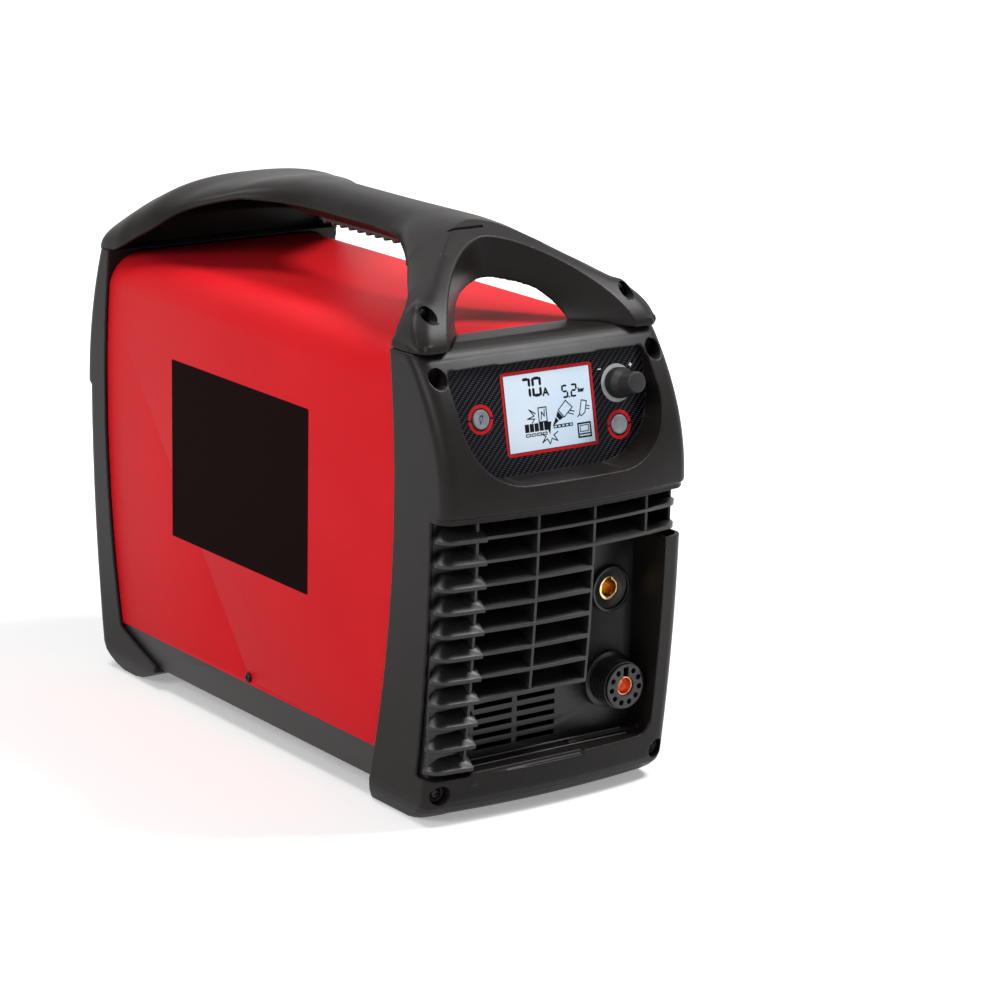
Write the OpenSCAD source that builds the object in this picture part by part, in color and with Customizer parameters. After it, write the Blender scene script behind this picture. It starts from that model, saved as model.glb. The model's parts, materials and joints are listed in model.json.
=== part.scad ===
// Power unit of a portable inverter plasma cutter, in millimetres.
// X runs across the unit, Y from the control front (-Y) to the back, Z up.
// The origin is the centre of the footprint, on the floor.

/* [Body] */
// Width over the end mouldings
body_w = 220; // [190:1:270]
// Length from the lip of the control fascia to the back
body_l = 530; // [460:1:640]
// Height of the end mouldings, where the handle is seated
shell_h = 352; // [335:1:400]
// Wall of the moulded parts
wall = 3; // [2:0.5:4]
// Radius of the upright front corners
corner_r = 12; // [8:1:18]
// Radius of the upright rear corners
rear_r = 8; // [6:1:20]
// How far the front bulges forward in plan
front_bow = 9; // [4:1:16]
// How far the edges of the end mouldings curve over their height
edge_curve = 33; // [10:1:45]
// Depth of the end mouldings along the sides
edge_depth = 35; // [25:1:50]

/* [Control fascia] */
// Height of the control fascia, from its lip to the top
fascia_h = 115; // [107:1:127]
// How far the top of the fascia stands back from the lip
fascia_lean = 57; // [40:1:70]
// Step from the lip back to the louvres
lip_step = 3.5; // [2:0.5:8]
// How far the lower front leans back towards the floor
lower_lean = 20; // [5:1:30]
// Tilt of the control panel from upright, in degrees
panel_tilt = 12; // [6:1:18]
// Distance of the middle of the display below the top
panel_drop = 53; // [48:1:58]
// Distance of the panel behind the lip
panel_set = 41; // [36:1:46]
// Distance of the pocket that holds the panel from the sides
pocket_side = 20; // [15:1:26]
// Top of the pocket below the seat of the handle
pocket_top = 15.5; // [12:0.5:22]
// Bottom of the pocket above the lip
pocket_foot = 19; // [14:1:24]
// Radius of the lower corners of the pocket
pocket_r = 48; // [30:1:50]
// Thickness of the overlay
overlay_t = 0.8; // [0.5:0.1:1.5]

/* [Controls] */
// Width of the display window
lcd_w = 77; // [60:1:84]
// Height of the display window
lcd_h = 56; // [44:1:60]
// Diameter of the button caps
button_d = 14.4; // [10:0.2:16]
// Travel of the buttons
button_travel = 1.2; // [0.6:0.1:2]
// Diameter of the skirt of the knob
knob_d = 23; // [18:0.5:27]
// Diameter of the grip of the knob
knob_grip_d = 16; // [12:0.5:18]
// Length of the knob
knob_l = 25; // [22:1:34]
// Diameter of the encoder shaft
shaft_d = 6; // [4:0.5:8]

/* [Louvres] */
// Number of louvre rows
louvre_rows = 11; // [9:1:12]
// Distance from row to row
louvre_pitch = 17.6; // [14:0.2:18]
// Thickness of a louvre blade
louvre_t = 2.4; // [1.8:0.2:3.5]
// Depth of a louvre blade, front to back
louvre_depth = 24; // [16:1:28]
// How far a louvre blade rises over its depth
louvre_rise = 9; // [0:0.5:11]
// Thickness of the front edge of a corner fin
fin_t = 4.2; // [3:0.2:6]
// How far the corner fins stand ahead of the blades
fin_step = 5; // [3:0.5:8]
// Thickness of the upright bars of the grille
bar_t = 2.2; // [1.6:0.2:4]

/* [Sockets] */
// Distance of both sockets from the side
socket_in = 42; // [38:1:48]
// Place of the earth socket up the bay, as a share of its height
earth_share = 0.7115; // [0.68:0.0005:0.74]
// Bore of the earth socket
earth_bore_d = 13.2; // [9:0.1:14]
// Place of the torch connector up the bay, as a share of its height
torch_share = 0.2565; // [0.24:0.0005:0.28]
// Diameter over the thread of the torch connector
torch_d = 36.4; // [32:0.2:38]
// How far the torch connector stands out of its panel
torch_l = 24; // [18:1:28]

/* [Handle] */
// Height of the handle above its seat
handle_h = 72; // [65:1:90]
// Width of the grip
grip_w = 52; // [42:1:60]
// Height of the grip
grip_t = 27; // [24:1:32]
// Wall of the hood over the back
hood_t = 3.4; // [2.5:0.1:5]
// Width of the opening between the front legs
arch_w = 100; // [80:1:110]
// Height of the opening between the front legs
arch_h = 36; // [28:1:38]

/* [Cover and base] */
// Thickness of the sheet metal
sheet_t = 1.5; // [1:0.1:2]
// Radius of the long edges of the cover
cover_r = 28; // [16:1:36]
// Height of the lower edge of the cover
skirt_z = 43; // [38:1:50]
// Height of the underside of the base tray
base_z = 18; // [14:1:24]

/* [Back] */
// Size of the square fan frame
fan_w = 120; // [92:1:130]
// Depth of the fan frame
fan_l = 38; // [25:1:42]
// Height of the fan axis
fan_z = 118; // [100:1:130]
// Diameter of the mains switch knob
switch_d = 42; // [30:1:50]
// Bore of the mains cable gland
gland_bore_d = 14; // [8:0.5:16]
// Diameter of the thread in the air inlet
air_bore_d = 13.2; // [9.6:0.1:14]

/* [Hidden] */

mould = "#3a3835";
dark = "#2a2a2b";
fine = 48;
running = 0.05;                            // radial clearance of a turning fit
slip = 0.3;                                // clearance round a sliding cap
half_w = body_w / 2;
front_y = -body_l / 2;
back_y = body_l / 2;
panel_y = front_y + panel_set;
panel_gap_y = front_y + 50;                // front face of the connector panel
edge_mid = 0.6676 * shell_h;               // height at which the moulding edges are narrowest
lip_z = shell_h - fascia_h;
panel_z = shell_h - panel_drop;
pocket_w = body_w - 2 * pocket_side;
socket_x = half_w - socket_in;
inner_w = half_w - wall;                   // outside of the cover, inside of the mouldings
roof_z = shell_h - wall;
floor_z = base_z + sheet_t;

// ---------- small helpers ----------

function clamp(t) = min(1, max(0, t));
function blend(a, b, t) = a + (b - a) * clamp(t);
function ease(t) = clamp(t) * clamp(t) * (3 - 2 * clamp(t));
function sgn(v) = v < 0 ? -1 : 1;
function flip(v) = [for (i = [len(v) - 1:-1:0]) v[i]];

// A solid through rings of equal length, each ring clockwise when seen along the way it advances.
module skin(rings) {
  n = len(rings[0]);
  m = len(rings);
  faces = concat(
    [[for (i = [0:n - 1]) i]],
    [for (k = [0:m - 2], i = [0:n - 1]) [k * n + i, (k + 1) * n + i, (k + 1) * n + (i + 1) % n]],
    [for (k = [0:m - 2], i = [0:n - 1]) [k * n + i, (k + 1) * n + (i + 1) % n, k * n + (i + 1) % n]],
    [[for (i = [n - 1:-1:0]) (m - 1) * n + i]]);
  polyhedron(points = [for (r = rings, p = r) p], faces = faces, convexity = 8);
}

// The same for arched rings: an outer arc from left to right, then as many points back along the inside
module arch_skin(rings) {
  n = len(rings[0]);
  m = len(rings);
  e = (m - 1) * n;
  faces = concat(
    [for (i = [0:n / 2 - 2]) [i, i + 1, n - 1 - i]],
    [for (i = [0:n / 2 - 2]) [i + 1, n - 2 - i, n - 1 - i]],
    [for (k = [0:m - 2], i = [0:n - 1]) [k * n + i, (k + 1) * n + i, (k + 1) * n + (i + 1) % n]],
    [for (k = [0:m - 2], i = [0:n - 1]) [k * n + i, (k + 1) * n + (i + 1) % n, k * n + (i + 1) % n]],
    [for (i = [0:n / 2 - 2]) [e + n - 1 - i, e + i + 1, e + i]],
    [for (i = [0:n / 2 - 2]) [e + n - 1 - i, e + n - 2 - i, e + i + 1]]);
  polyhedron(points = [for (r = rings, p = r) p], faces = faces, convexity = 8);
}

// Arc points about a centre
function arc(cx, cy, r, a0, a1, n) =
  [for (i = [0:n]) let (a = a0 + (a1 - a0) * i / n) [cx + r * cos(a), cy + r * sin(a)]];

// Rectangle with a radius for each corner: lower left, lower right, upper right, upper left
function soft_rect(x0, y0, x1, y1, r) = concat(
  arc(x0 + r[0], y0 + r[0], r[0], 180, 270, 8),
  arc(x1 - r[1], y0 + r[1], r[1], 270, 360, 8),
  arc(x1 - r[2], y1 - r[2], r[2], 0, 90, 8),
  arc(x0 + r[3], y1 - r[3], r[3], 90, 180, 8));

// Puts children on a plane that faces -Y: their X stays, their Y becomes Z, their Z points forward
module face_front(y) {
  translate([0, y, 0]) rotate([90, 0, 0]) children();
}

// Cylinder along Y from y0 to y1
module rod_y(x, z, r, y0, y1, sides = fine) {
  translate([x, y1, z]) rotate([90, 0, 0]) cylinder(r = r, h = y1 - y0, $fn = sides);
}

// Puts children on the control panel: their X across, their Y up the panel, their Z out of it
module on_panel(u, w, d = 0) {
  translate([0, panel_y, panel_z]) rotate([90 - panel_tilt, 0, 0]) translate([u, w, d]) children();
}

// ---------- outlines shared by the mouldings ----------

// How far an edge of a moulding has curved back at a height
function edge_bow(z) = edge_curve * pow((z - edge_mid) / edge_mid, 2);
function front_edge(z) = front_y + edge_depth + 42.5 + edge_bow(z);
function back_edge(z) = back_y - edge_depth - edge_bow(z);

// Rounding of the top edge, and the tuck of the toe near the floor
top_r = 7;
side_tuck = 2.5;
toe_h = 20;
toe_in = 22;
function top_in(z) = z < shell_h - top_r ? 0
  : top_r * (1 - sqrt(max(0, 1 - pow((z - shell_h + top_r) / top_r, 2))));
function toe(z) = z > toe_h ? 0 : pow(1 - z / toe_h, 2);

// Middle of the front at a height: the fascia above the lip, the louvre frame below it
function fascia_y(z) = front_y + fascia_lean * pow((z - lip_z) / (shell_h - lip_z), 2);
function frame_y(z) = front_y + lip_step + lower_lean * pow((lip_z - z) / lip_z, 2);
function front_mid(z) = (z > lip_z ? fascia_y(z) : frame_y(z)) + top_in(z) + toe_in * toe(z);
function bow_at(z) = z > lip_z ? front_bow * (1 - pow((z - lip_z) / (shell_h - lip_z), 1.5))
  : front_bow * (1 - 0.25 * (lip_z - z) / lip_z);
function half_at(z) = half_w - side_tuck * top_in(z) / top_r - 6 * toe(z);

// Plan of the front at one height: bulged front, round corners, straight sides to the edge at ye
function plan_ring(z, hw, mid, bow, rc, ye) =
  let (a = atan(2 * bow / (hw - rc)), xr = hw - rc + rc * sin(a), cy = mid + bow + rc * cos(a))
  concat(
    [[-hw, ye, z]],
    [for (p = arc(-(hw - rc), cy, rc, 180, 270 - a, 6)) [p[0], p[1], z]],
    [for (i = [1:9]) let (x = -xr + 2 * xr * i / 10) [x, mid + bow * pow(x / xr, 2), z]],
    [for (p = arc(hw - rc, cy, rc, 270 + a, 360, 6)) [p[0], p[1], z]],
    [[hw, ye, z]]);

lower_levels = [36, 0.25 * lip_z, 0.38 * lip_z, 0.5 * lip_z, 0.63 * lip_z, 0.76 * lip_z, 0.88 * lip_z];
fascia_levels = [for (k = [0.06:0.08:0.86]) lip_z + k * fascia_h];
front_levels = concat([0, 2, 5, 9, 14, 20], lower_levels, [lip_z - 0.6, lip_z + 0.6], fascia_levels,
  [shell_h - 7, shell_h - 5, shell_h - 3, shell_h - 1.2, shell_h]);

function front_ring(z, inset, ye) =
  plan_ring(z, half_at(z) - inset, front_mid(z) + inset, bow_at(z),
    min(corner_r - inset, 0.7 * (ye - front_mid(z) - inset - bow_at(z))), ye);

cavity_levels = concat([base_z], [for (l = front_levels) if (l > base_z + 4 && l < roof_z - 2) l], [roof_z + 0.01]);

// Inside of an end moulding at one height, open towards the middle of the unit
function inner_ring(z, mid, bow, rc) = plan_ring(z, inner_w, mid + 1.2 * wall, bow, rc, -half_open);
half_open = 100;                           // past the edge of either end moulding

// Cross-section of the cover, from the base up over both rounded edges, set in by d
function cover_outline(foot, d) = concat(
  [[inner_w - d, foot]],
  arc(inner_w - cover_r, roof_z - cover_r, cover_r - d, 0, 90, 10),
  arc(-inner_w + cover_r, roof_z - cover_r, cover_r - d, 90, 180, 10),
  [[-inner_w + d, foot]]);

module cover_prism(foot_d, y0, y1) {
  face_front(y1) linear_extrude(y1 - y0) polygon(cover_outline(base_z + foot_d, 0));
}

// Outline of the control pocket, grown by g
function pocket_outline(g) = soft_rect(
  -pocket_w / 2 - g, lip_z + pocket_foot - g, pocket_w / 2 + g, shell_h - pocket_top + g,
  [pocket_r + g, pocket_r + g, 7 + g, 7 + g]);

// Everything ahead of the panel plane moved back by d
module ahead_of_panel(d) {
  on_panel(-body_w, -150, -d) cube([2 * body_w, 300, 200]);
}

// ---------- front moulding ----------

lcd_x = 1;
button_at = [[49.3 - half_w, 0], [half_w - 47.4, -18.6]];
knob_at = [half_w - 46, 12];
bush_d = 9;
win_foot = 37;                             // lower edge of the louvre window
win_top = lip_z - 5;
sill_z = 40;                               // floor of the socket bay
bay_left = half_w - 86;
bay_right = half_w - 20;
gusset_r = 13;
vent_top = 86;                             // top of the vent slots beside the bay
bay_top = lip_z - 41;
earth_z = blend(sill_z, bay_top, earth_share);
torch_z = blend(sill_z, bay_top, torch_share);
wrap = 27;                                 // how far the louvre window wraps round the corners
screw_x = half_w - 10.5;
screw_top_x = half_w - 13;
screw_top_z = shell_h - 19;
screw_foot_z = 25;
screw_seat_y = front_y + 56;                // seat of the upper front screws

// Side view of the louvre window, ahead of its back edge
module window_prism(x0, x1, z0, z1) {
  steps = 6;
  pts = concat([[front_y - 20, z0]],
    [for (i = [0:steps]) let (z = z0 + (z1 - z0) * i / steps) [frame_y(z) + wrap, z]],
    [[front_y - 20, z1]]);
  translate([x0, 0, 0]) rotate([90, 0, 90]) linear_extrude(x1 - x0) polygon(pts);
}

module front_bezel() {
  color(mould) difference() {
    skin([for (z = front_levels) front_ring(z, 0, front_edge(z))]);
    difference() {
      intersection() {
        skin([for (z = cavity_levels) inner_ring(z, front_mid(z), bow_at(z), corner_r - wall)]);
        cover_prism(0, front_y, 0);
      }
      // walls and floor of the control pocket
      difference() {
        face_front(panel_y + 60) linear_extrude(200) polygon(pocket_outline(wall));
        on_panel(-body_w, -150, -wall - 100) cube([2 * body_w, 300, 100]);
      }
      // inner wall of the right post, beside the socket bay
      translate([bay_right, front_y, base_z]) cube([wall, panel_gap_y - front_y, bay_top + 6 - base_z]);
      // sill under the louvres and the sockets, with its rib
      translate([-inner_w, front_y, base_z]) cube([2 * inner_w, panel_gap_y - front_y, win_foot - base_z]);
      translate([bay_left, front_y, base_z]) cube([inner_w - bay_left, panel_gap_y - front_y, sill_z - base_z]);
      translate([-post_x - 6, panel_gap_y - 12, base_z]) cube([post_x + 6 + bay_right, 3.2, sill_z + 2.6 - base_z]);
      // screw bosses
      for (s = [-1, 1]) {
        rod_y(s * screw_top_x, screw_top_z, 10, front_y, cover_front - 0.3);
        rod_y(s * screw_top_x, screw_top_z, 4.5, front_y, screw_seat_y + 18);
      }
    }
    // pocket
    intersection() {
      face_front(panel_y + 60) linear_extrude(200) polygon(pocket_outline(0));
      ahead_of_panel(0);
    }
    // openings in the pocket floor
    on_panel(lcd_x, 0, -20) translate([-lcd_w / 2 - slip, -lcd_h / 2 - slip, 0])
      cube([lcd_w + 2 * slip, lcd_h + 2 * slip, 30]);
    for (b = button_at) on_panel(b[0], b[1], -20) cylinder(r = button_d / 2 + slip, h = 30, $fn = fine);
    on_panel(knob_at[0], knob_at[1], -20) cylinder(r = bush_d / 2 + slip, h = 30, $fn = fine);
    // louvre window and socket bay
    window_prism(-half_w - 10, bay_left, win_foot, win_top);
    window_prism(bay_left - 1, half_w + 10, bay_top, win_top);
    difference() {
      window_prism(bay_left - 1, bay_right, sill_z, bay_top + 1);
      // rib along the sill, and the gusset at the foot of the post
      translate([-half_w, panel_gap_y - 12, 0]) cube([body_w, 3.2, sill_z + 2.6]);
      translate([bay_right - gusset_r, front_y, sill_z + gusset_r]) rotate([-90, 0, 0]) difference() {
        translate([0, 0, 0]) cube([gusset_r + 1, gusset_r + 1, 60]);
        translate([0, 0, -1]) cylinder(r = gusset_r, h = 62, $fn = 40);
      }
    }
    // screw recesses
    for (s = [-1, 1]) {
      rod_y(s * screw_top_x, screw_top_z, 7.2, front_y - 10, screw_seat_y);
      rod_y(s * screw_top_x, screw_top_z, 2.6, front_y - 10, screw_seat_y + 15);
      rod_y(s * screw_x, screw_foot_z, 7.5, front_y - 10, front_y + 36);
      rod_y(s * screw_x, screw_foot_z, 2.6, front_y - 10, front_y + 60);
    }
    // seats of the handle legs
    for (m = [0, 1]) mirror([m, 0, 0]) translate([0, 0, roof_z]) linear_extrude(20) polygon([
      [half_w + 1, front_y], [rim_w - 0.4, front_y], [rim_w - 0.4, lean_foot - 0.4],
      [arch_w / 2 - 0.4, arch_back - 1.4], [arch_w / 2 - 0.4, arch_back + 0.2], [half_w + 1, arch_back + 0.2]]);
    // relief between the feet
    translate([-half_w + 28, front_y - 10, -1]) cube([body_w - 56, 200, 5]);
  }
}

// ---------- louvre grille ----------

function row_z(i) = win_top - 13 - i * louvre_pitch;
corner_end = half_w - 35;                  // half-width at which a corner fin ends
post_x = half_w - 30.5;
wide_rows = 2;
rows = min(louvre_rows, floor((win_top - win_foot - 18) / louvre_pitch) + 1);
blade_rows = min(rows, floor((win_top - vent_top - 21) / louvre_pitch) + 1);

// Plan of a corner fin at height z on the left side, set in from the side and from the front
function fin_ring(z, level, side, ahead, rc) =
  let (hw = half_w - side, mid = frame_y(z) + ahead, bow = bow_at(z),
    a = atan(2 * bow / (hw - rc)), xr = hw - rc + rc * sin(a), cy = mid + bow + rc * cos(a),
    back = frame_y(z) + wrap - 0.4, a0 = 180 + max(0, asin(clamp((cy - back) / rc))))
  concat(
    [for (p = arc(-(hw - rc), cy, rc, a0, 270 - a, 6)) [p[0], p[1], level]],
    [[-corner_end, mid + bow * pow(corner_end / xr, 2), level]],
    [[-corner_end, back, level]]);

// The left fins stand proud of the blades and rise behind their lips, the right ones are flush
module corner_fin(z) {
  skin([fin_ring(z, z - fin_t / 2 + 0.5, 0.6, 0.6, corner_r), fin_ring(z, z - fin_t / 2 + 1.2, 0, 0, corner_r),
    fin_ring(z, z + fin_t / 2 - 0.6, 0, 0, corner_r), fin_ring(z, z + fin_t / 2, 0.8, 0.8, corner_r),
    fin_ring(z, z + fin_t / 2 + 7, 9, 10, 6)]);
}

module flush_fin(z) {
  skin([fin_ring(z, z - 1.6, 0.2, fin_step, corner_r + 4), fin_ring(z, z + 1.6, 0.2, fin_step, corner_r + 4)]);
}

function blade_y(x, z) = frame_y(z) + fin_step
  + bow_at(z) * pow(x / (half_w - 0.8 * corner_r), 2);

function blade_back(x, z) = min(blade_y(x, z) + louvre_depth, panel_gap_y - 0.3);

// A blade from x0 to x1: its front edge is level and follows the bulge, and it rises towards the back
module blade(z, x0, x1) {
  steps = 6;
  low = z - louvre_t / 2;
  skin([for (i = [0:steps]) let (x = x0 + (x1 - x0) * i / steps, f = blade_y(x, z), b = blade_back(x, z))
    [[x, b, low + louvre_rise + louvre_t], [x, f, low + louvre_t], [x, f, low], [x, b, low + louvre_rise]]]);
}

// An upright bar between two rows, following the lean of the front
module upright(x, top, foot, depth) {
  steps = 6;
  pts = concat(
    [for (i = [0:steps]) let (z = foot + (top - foot) * i / steps) [blade_y(x, z) + 0.8, z]],
    [for (i = [steps:-1:0]) let (z = foot + (top - foot) * i / steps)
      [min(blade_y(x, z) + depth, panel_gap_y - 0.3), z]]);
  translate([x - bar_t / 2, 0, 0]) rotate([90, 0, 90]) linear_extrude(bar_t) polygon(pts);
}

module front_grille() {
  last = rows - 1;
  color(dark) {
    for (i = [0:last]) corner_fin(row_z(i));
    for (i = [0:wide_rows - 1]) mirror([1, 0, 0]) flush_fin(row_z(i));
    for (i = [0:wide_rows - 1]) blade(row_z(i), -post_x, post_x);
    for (i = [wide_rows:blade_rows - 1]) blade(row_z(i), -post_x, bay_left - 2);
    upright(-post_x, win_top, win_foot + 0.3, louvre_depth);
    upright(-0.26 * half_w, win_top, row_z(blade_rows - 1), louvre_depth);
    upright(bay_left - 2, win_top, row_z(blade_rows - 1), louvre_depth);
    upright(half_w - 37, win_top, row_z(wide_rows - 1), louvre_depth);
    // wall behind the corner fins
    translate([-half_w + wall + 0.3, panel_gap_y - 16, win_foot + 0.3])
      cube([half_w - wall - post_x, 2.5, win_top - win_foot - 0.3]);
    translate([-half_w + wall + 0.3, panel_gap_y - 16, win_foot + 0.3])
      cube([2.5, 15.7, win_top - win_foot - 0.3]);
  }
}

// ---------- socket bay ----------

plate_t = 3;
slot_h = 4;

module connector_panel() {
  hole_r = 2.4;
  color(dark) difference() {
    translate([0, panel_gap_y + plate_t, 0]) rotate([90, 0, 0]) linear_extrude(plate_t) polygon([
      [-inner_w + 3, floor_z], [inner_w - 3, floor_z], [inner_w - 3, bay_top + 6],
      [bay_left - 5, bay_top + 6], [bay_left - 5, vent_top + 2], [-inner_w + 3, vent_top + 2]]);
    for (x = [bay_left - 79, bay_left - 39.5], k = [0:4])
      translate([x, panel_gap_y - 5, 44.5 + 8 * k]) cube([35, 15, slot_h]);
    rod_y(socket_x, earth_z, 14.2, panel_gap_y - 5, panel_gap_y + 10);
    rod_y(socket_x, torch_z, 15.2, panel_gap_y - 5, panel_gap_y + 10);
    for (s = [-1, 1]) rod_y(s * screw_x, screw_foot_z, hole_r, panel_gap_y - 5, panel_gap_y + 10);
  }
}

earth_ring_r = 17.6;
earth_face = panel_gap_y - 4;              // front of the earth socket rim

module earth_socket_body() {
  color("#202022") difference() {
    union() {
      rod_y(socket_x, earth_z, earth_ring_r, earth_face, panel_gap_y);
      rod_y(socket_x, earth_z, 14, panel_gap_y, panel_gap_y + 22);
    }
    rod_y(socket_x, earth_z, earth_ring_r - 2.2, earth_face - 1, earth_face + 3);
    rod_y(socket_x, earth_z, 9.1, earth_face, panel_gap_y + 30);
  }
}

module earth_socket_contact() {
  color("#c8923c") difference() {
    union() {
      rod_y(socket_x, earth_z, 9, earth_face + 3.4, panel_gap_y + 30);
      rod_y(socket_x, earth_z, 6, panel_gap_y + 30, panel_gap_y + 42);
    }
    rod_y(socket_x, earth_z, earth_bore_d / 2, earth_face, panel_gap_y + 26.5);
    // run-out at the foot of the bore
    rod_y(socket_x, earth_z, earth_bore_d / 2 + 0.4, panel_gap_y + 26, panel_gap_y + 27);
    translate([socket_x - 2, earth_face, earth_z]) cube([4, 14, earth_bore_d / 2 + 1.6]);
  }
}

module earth_socket_nut() {
  color("#303032") difference() {
    translate([socket_x, panel_gap_y + plate_t + 5, earth_z]) rotate([90, 0, 0])
      cylinder(r = 20, h = 5, $fn = 6);
    rod_y(socket_x, earth_z, 14.1, panel_gap_y, panel_gap_y + 20);
  }
}

torch_face = panel_gap_y - torch_l;
torch_bore = 7.4;
sleeve_r = 6.2;                            // bore of the copper sleeve in the torch connector
pins = 11;
pin_circle = 13;

module torch_connector_body() {
  color("#1d1d1f") difference() {
    union() {
      rod_y(socket_x, torch_z, torch_d / 2 + 3.6, panel_gap_y - 3.5, panel_gap_y);
      rod_y(socket_x, torch_z, torch_d / 2 - 0.9, torch_face, panel_gap_y - 3);
      // thread
      for (k = [0:4]) rod_y(socket_x, torch_z, torch_d / 2, torch_face + 3 + 3.4 * k, torch_face + 4.9 + 3.4 * k);
      rod_y(socket_x, torch_z, 15, panel_gap_y - 1, panel_gap_y + 20);
    }
    rod_y(socket_x, torch_z, torch_bore, torch_face - 1, torch_face + 14);
    rod_y(socket_x, torch_z, 5.1, torch_face, panel_gap_y + 30);
    for (k = [0:pins - 1]) if (k != 0) rotate_pin(k) cylinder(r = 2.1, h = 12, $fn = 20);
    translate([socket_x - 2.4, torch_face - 1, torch_z]) cube([4.8, 11, pin_circle + 2]);
  }
}

// Place of pin hole k on the face of the torch connector, counted from the key at the top
module rotate_pin(k) {
  a = 360 * k / pins;
  translate([socket_x + pin_circle * sin(a), torch_face + 11, torch_z + pin_circle * cos(a)])
    rotate([90, 0, 0]) children();
}

module torch_connector_contact() {
  color("#b8683a") difference() {
    union() {
      rod_y(socket_x, torch_z, torch_bore - 0.1, torch_face + 1.5, torch_face + 13.8);
      rod_y(socket_x, torch_z, 5, torch_face + 13, panel_gap_y + 34);
    }
    rod_y(socket_x, torch_z, sleeve_r, torch_face, torch_face + 12.5);
  }
}

module torch_connector_nut() {
  color("#303032") difference() {
    translate([socket_x, panel_gap_y + plate_t + 6, torch_z]) rotate([90, 0, 0])
      cylinder(r = 22, h = 6, $fn = 6);
    rod_y(socket_x, torch_z, 15.1, panel_gap_y, panel_gap_y + 30);
  }
}

// ---------- control panel ----------

board_d = 14;                              // board face behind the panel plane
board_t = 1.6;

module control_overlay() {
  color("#15161c") difference() {
    intersection() {
      face_front(panel_y + 60) linear_extrude(200) polygon(pocket_outline(-slip));
      on_panel(-body_w, -150, 0) cube([2 * body_w, 300, overlay_t]);
    }
    on_panel(lcd_x - lcd_w / 2 - slip, -lcd_h / 2 - slip, -1) cube([lcd_w + 2 * slip, lcd_h + 2 * slip, 5]);
    for (b = button_at) on_panel(b[0], b[1], -1) cylinder(r = button_d / 2 + slip, h = 5, $fn = fine);
    on_panel(knob_at[0], knob_at[1], -1) cylinder(r = bush_d / 2 + slip, h = 5, $fn = fine);
  }
}

module display_window() {
  color("#cfe4f2") on_panel(lcd_x - lcd_w / 2, -lcd_h / 2, overlay_t - 2) cube([lcd_w, lcd_h, 2]);
}

module display_module() {
  color("#7d8a90") on_panel(lcd_x - lcd_w / 2, -lcd_h / 2, -board_d)
    cube([lcd_w, lcd_h, board_d + overlay_t - 2]);
}

board_w = 166;
board_h = 72;

module control_board() {
  color("#1f6b3a") on_panel(-board_w / 2, -board_h / 2, -board_d - board_t) cube([board_w, board_h, board_t]);
}

module board_spacers() {
  color("#b9bcc0") for (u = [-1, 1], w = [-1, 1])
    on_panel(u * (board_w / 2 - 6), w > 0 ? board_h / 2 - 7 : -12, -board_d)
      cylinder(r = 3.5, h = board_d - wall, $fn = 24);
}

module encoder_body() {
  color("#9aa0a4") difference() {
    union() {
      on_panel(knob_at[0] - 7, knob_at[1] - 7, -board_d) cube([14, 14, board_d - wall - 1]);
      on_panel(knob_at[0], knob_at[1], -board_d) cylinder(r = bush_d / 2, h = board_d + 5, $fn = fine);
    }
    on_panel(knob_at[0], knob_at[1], -board_d + 4) cylinder(r = shaft_d / 2 + running, h = 40, $fn = fine);
  }
}

module encoder_shaft() {
  color("#c4c8cb") on_panel(knob_at[0], knob_at[1], -board_d + 4.3)
    cylinder(r = shaft_d / 2, h = board_d + knob_l - 7, $fn = fine);
}

knob_gap = 0.7;

module control_knob() {
  base = overlay_t + knob_gap;
  color("#17171a") difference() {
    union() {
      on_panel(knob_at[0], knob_at[1], base) cylinder(r = knob_d / 2, h = 8, $fn = fine);
      on_panel(knob_at[0], knob_at[1], base + 8)
        cylinder(r1 = knob_d / 2, r2 = knob_grip_d / 2 + 0.6, h = 5, $fn = fine);
      on_panel(knob_at[0], knob_at[1], base) cylinder(r = knob_grip_d / 2, h = knob_l, $fn = fine);
      for (a = [0:20:340]) on_panel(knob_at[0], knob_at[1], base + 12) rotate([0, 0, a])
        translate([knob_grip_d / 2 - 0.4, -0.6, 0]) cube([0.9, 1.2, knob_l - 15]);
    }
    on_panel(knob_at[0], knob_at[1], -1) cylinder(r = shaft_d / 2, h = board_d + knob_l - 15.7 + 1, $fn = fine);
    on_panel(knob_at[0], knob_at[1], -1) cylinder(r = bush_d / 2 + 1, h = 7, $fn = fine);
  }
}

module push_button(at) {
  stem = -wall - 3.5;
  color("#b8bcc2") union() {
    on_panel(at[0], at[1], -wall - 2) cylinder(r = button_d / 2, h = wall + 2 + 1.8, $fn = fine);
    on_panel(at[0], at[1], -wall - 2.2) cylinder(r = button_d / 2 + 1.6, h = 2, $fn = fine);
    on_panel(at[0], at[1], stem) cylinder(r = 3, h = 3, $fn = 24);
  }
}

module button_left() {
  push_button(button_at[0]);
}

module button_right() {
  push_button(button_at[1]);
}

module button_switches() {
  rest = board_d - wall - 3.5 - button_travel - 0.3;
  color("#303034") for (b = button_at) {
    on_panel(b[0] - 6, b[1] - 6, -board_d) cube([12, 12, 3.5]);
    on_panel(b[0], b[1], -board_d) cylinder(r = 2.8, h = rest, $fn = 24);
  }
}

// ---------- cover and base ----------

cover_front = front_y + 60;
panel_back_y = back_y - 32;                // inner face of the rear panel
rear_plate_t = 2;
cover_back = panel_back_y + rear_plate_t;
cover_screw_y = 13;
cover_screw_z = skirt_z + 5.5;
screw_r = 2.1;

module red_cover() {
  color("#c8202a") difference() {
    face_front(cover_back) linear_extrude(cover_back - cover_front) polygon(concat(
      cover_outline(skirt_z, 0), flip(cover_outline(skirt_z, sheet_t))));
    for (s = [-1, 1]) translate([s * inner_w - 4, cover_screw_y, cover_screw_z]) rotate([0, 90, 0])
      cylinder(r = screw_r, h = 8, $fn = 24);
  }
}

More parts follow.
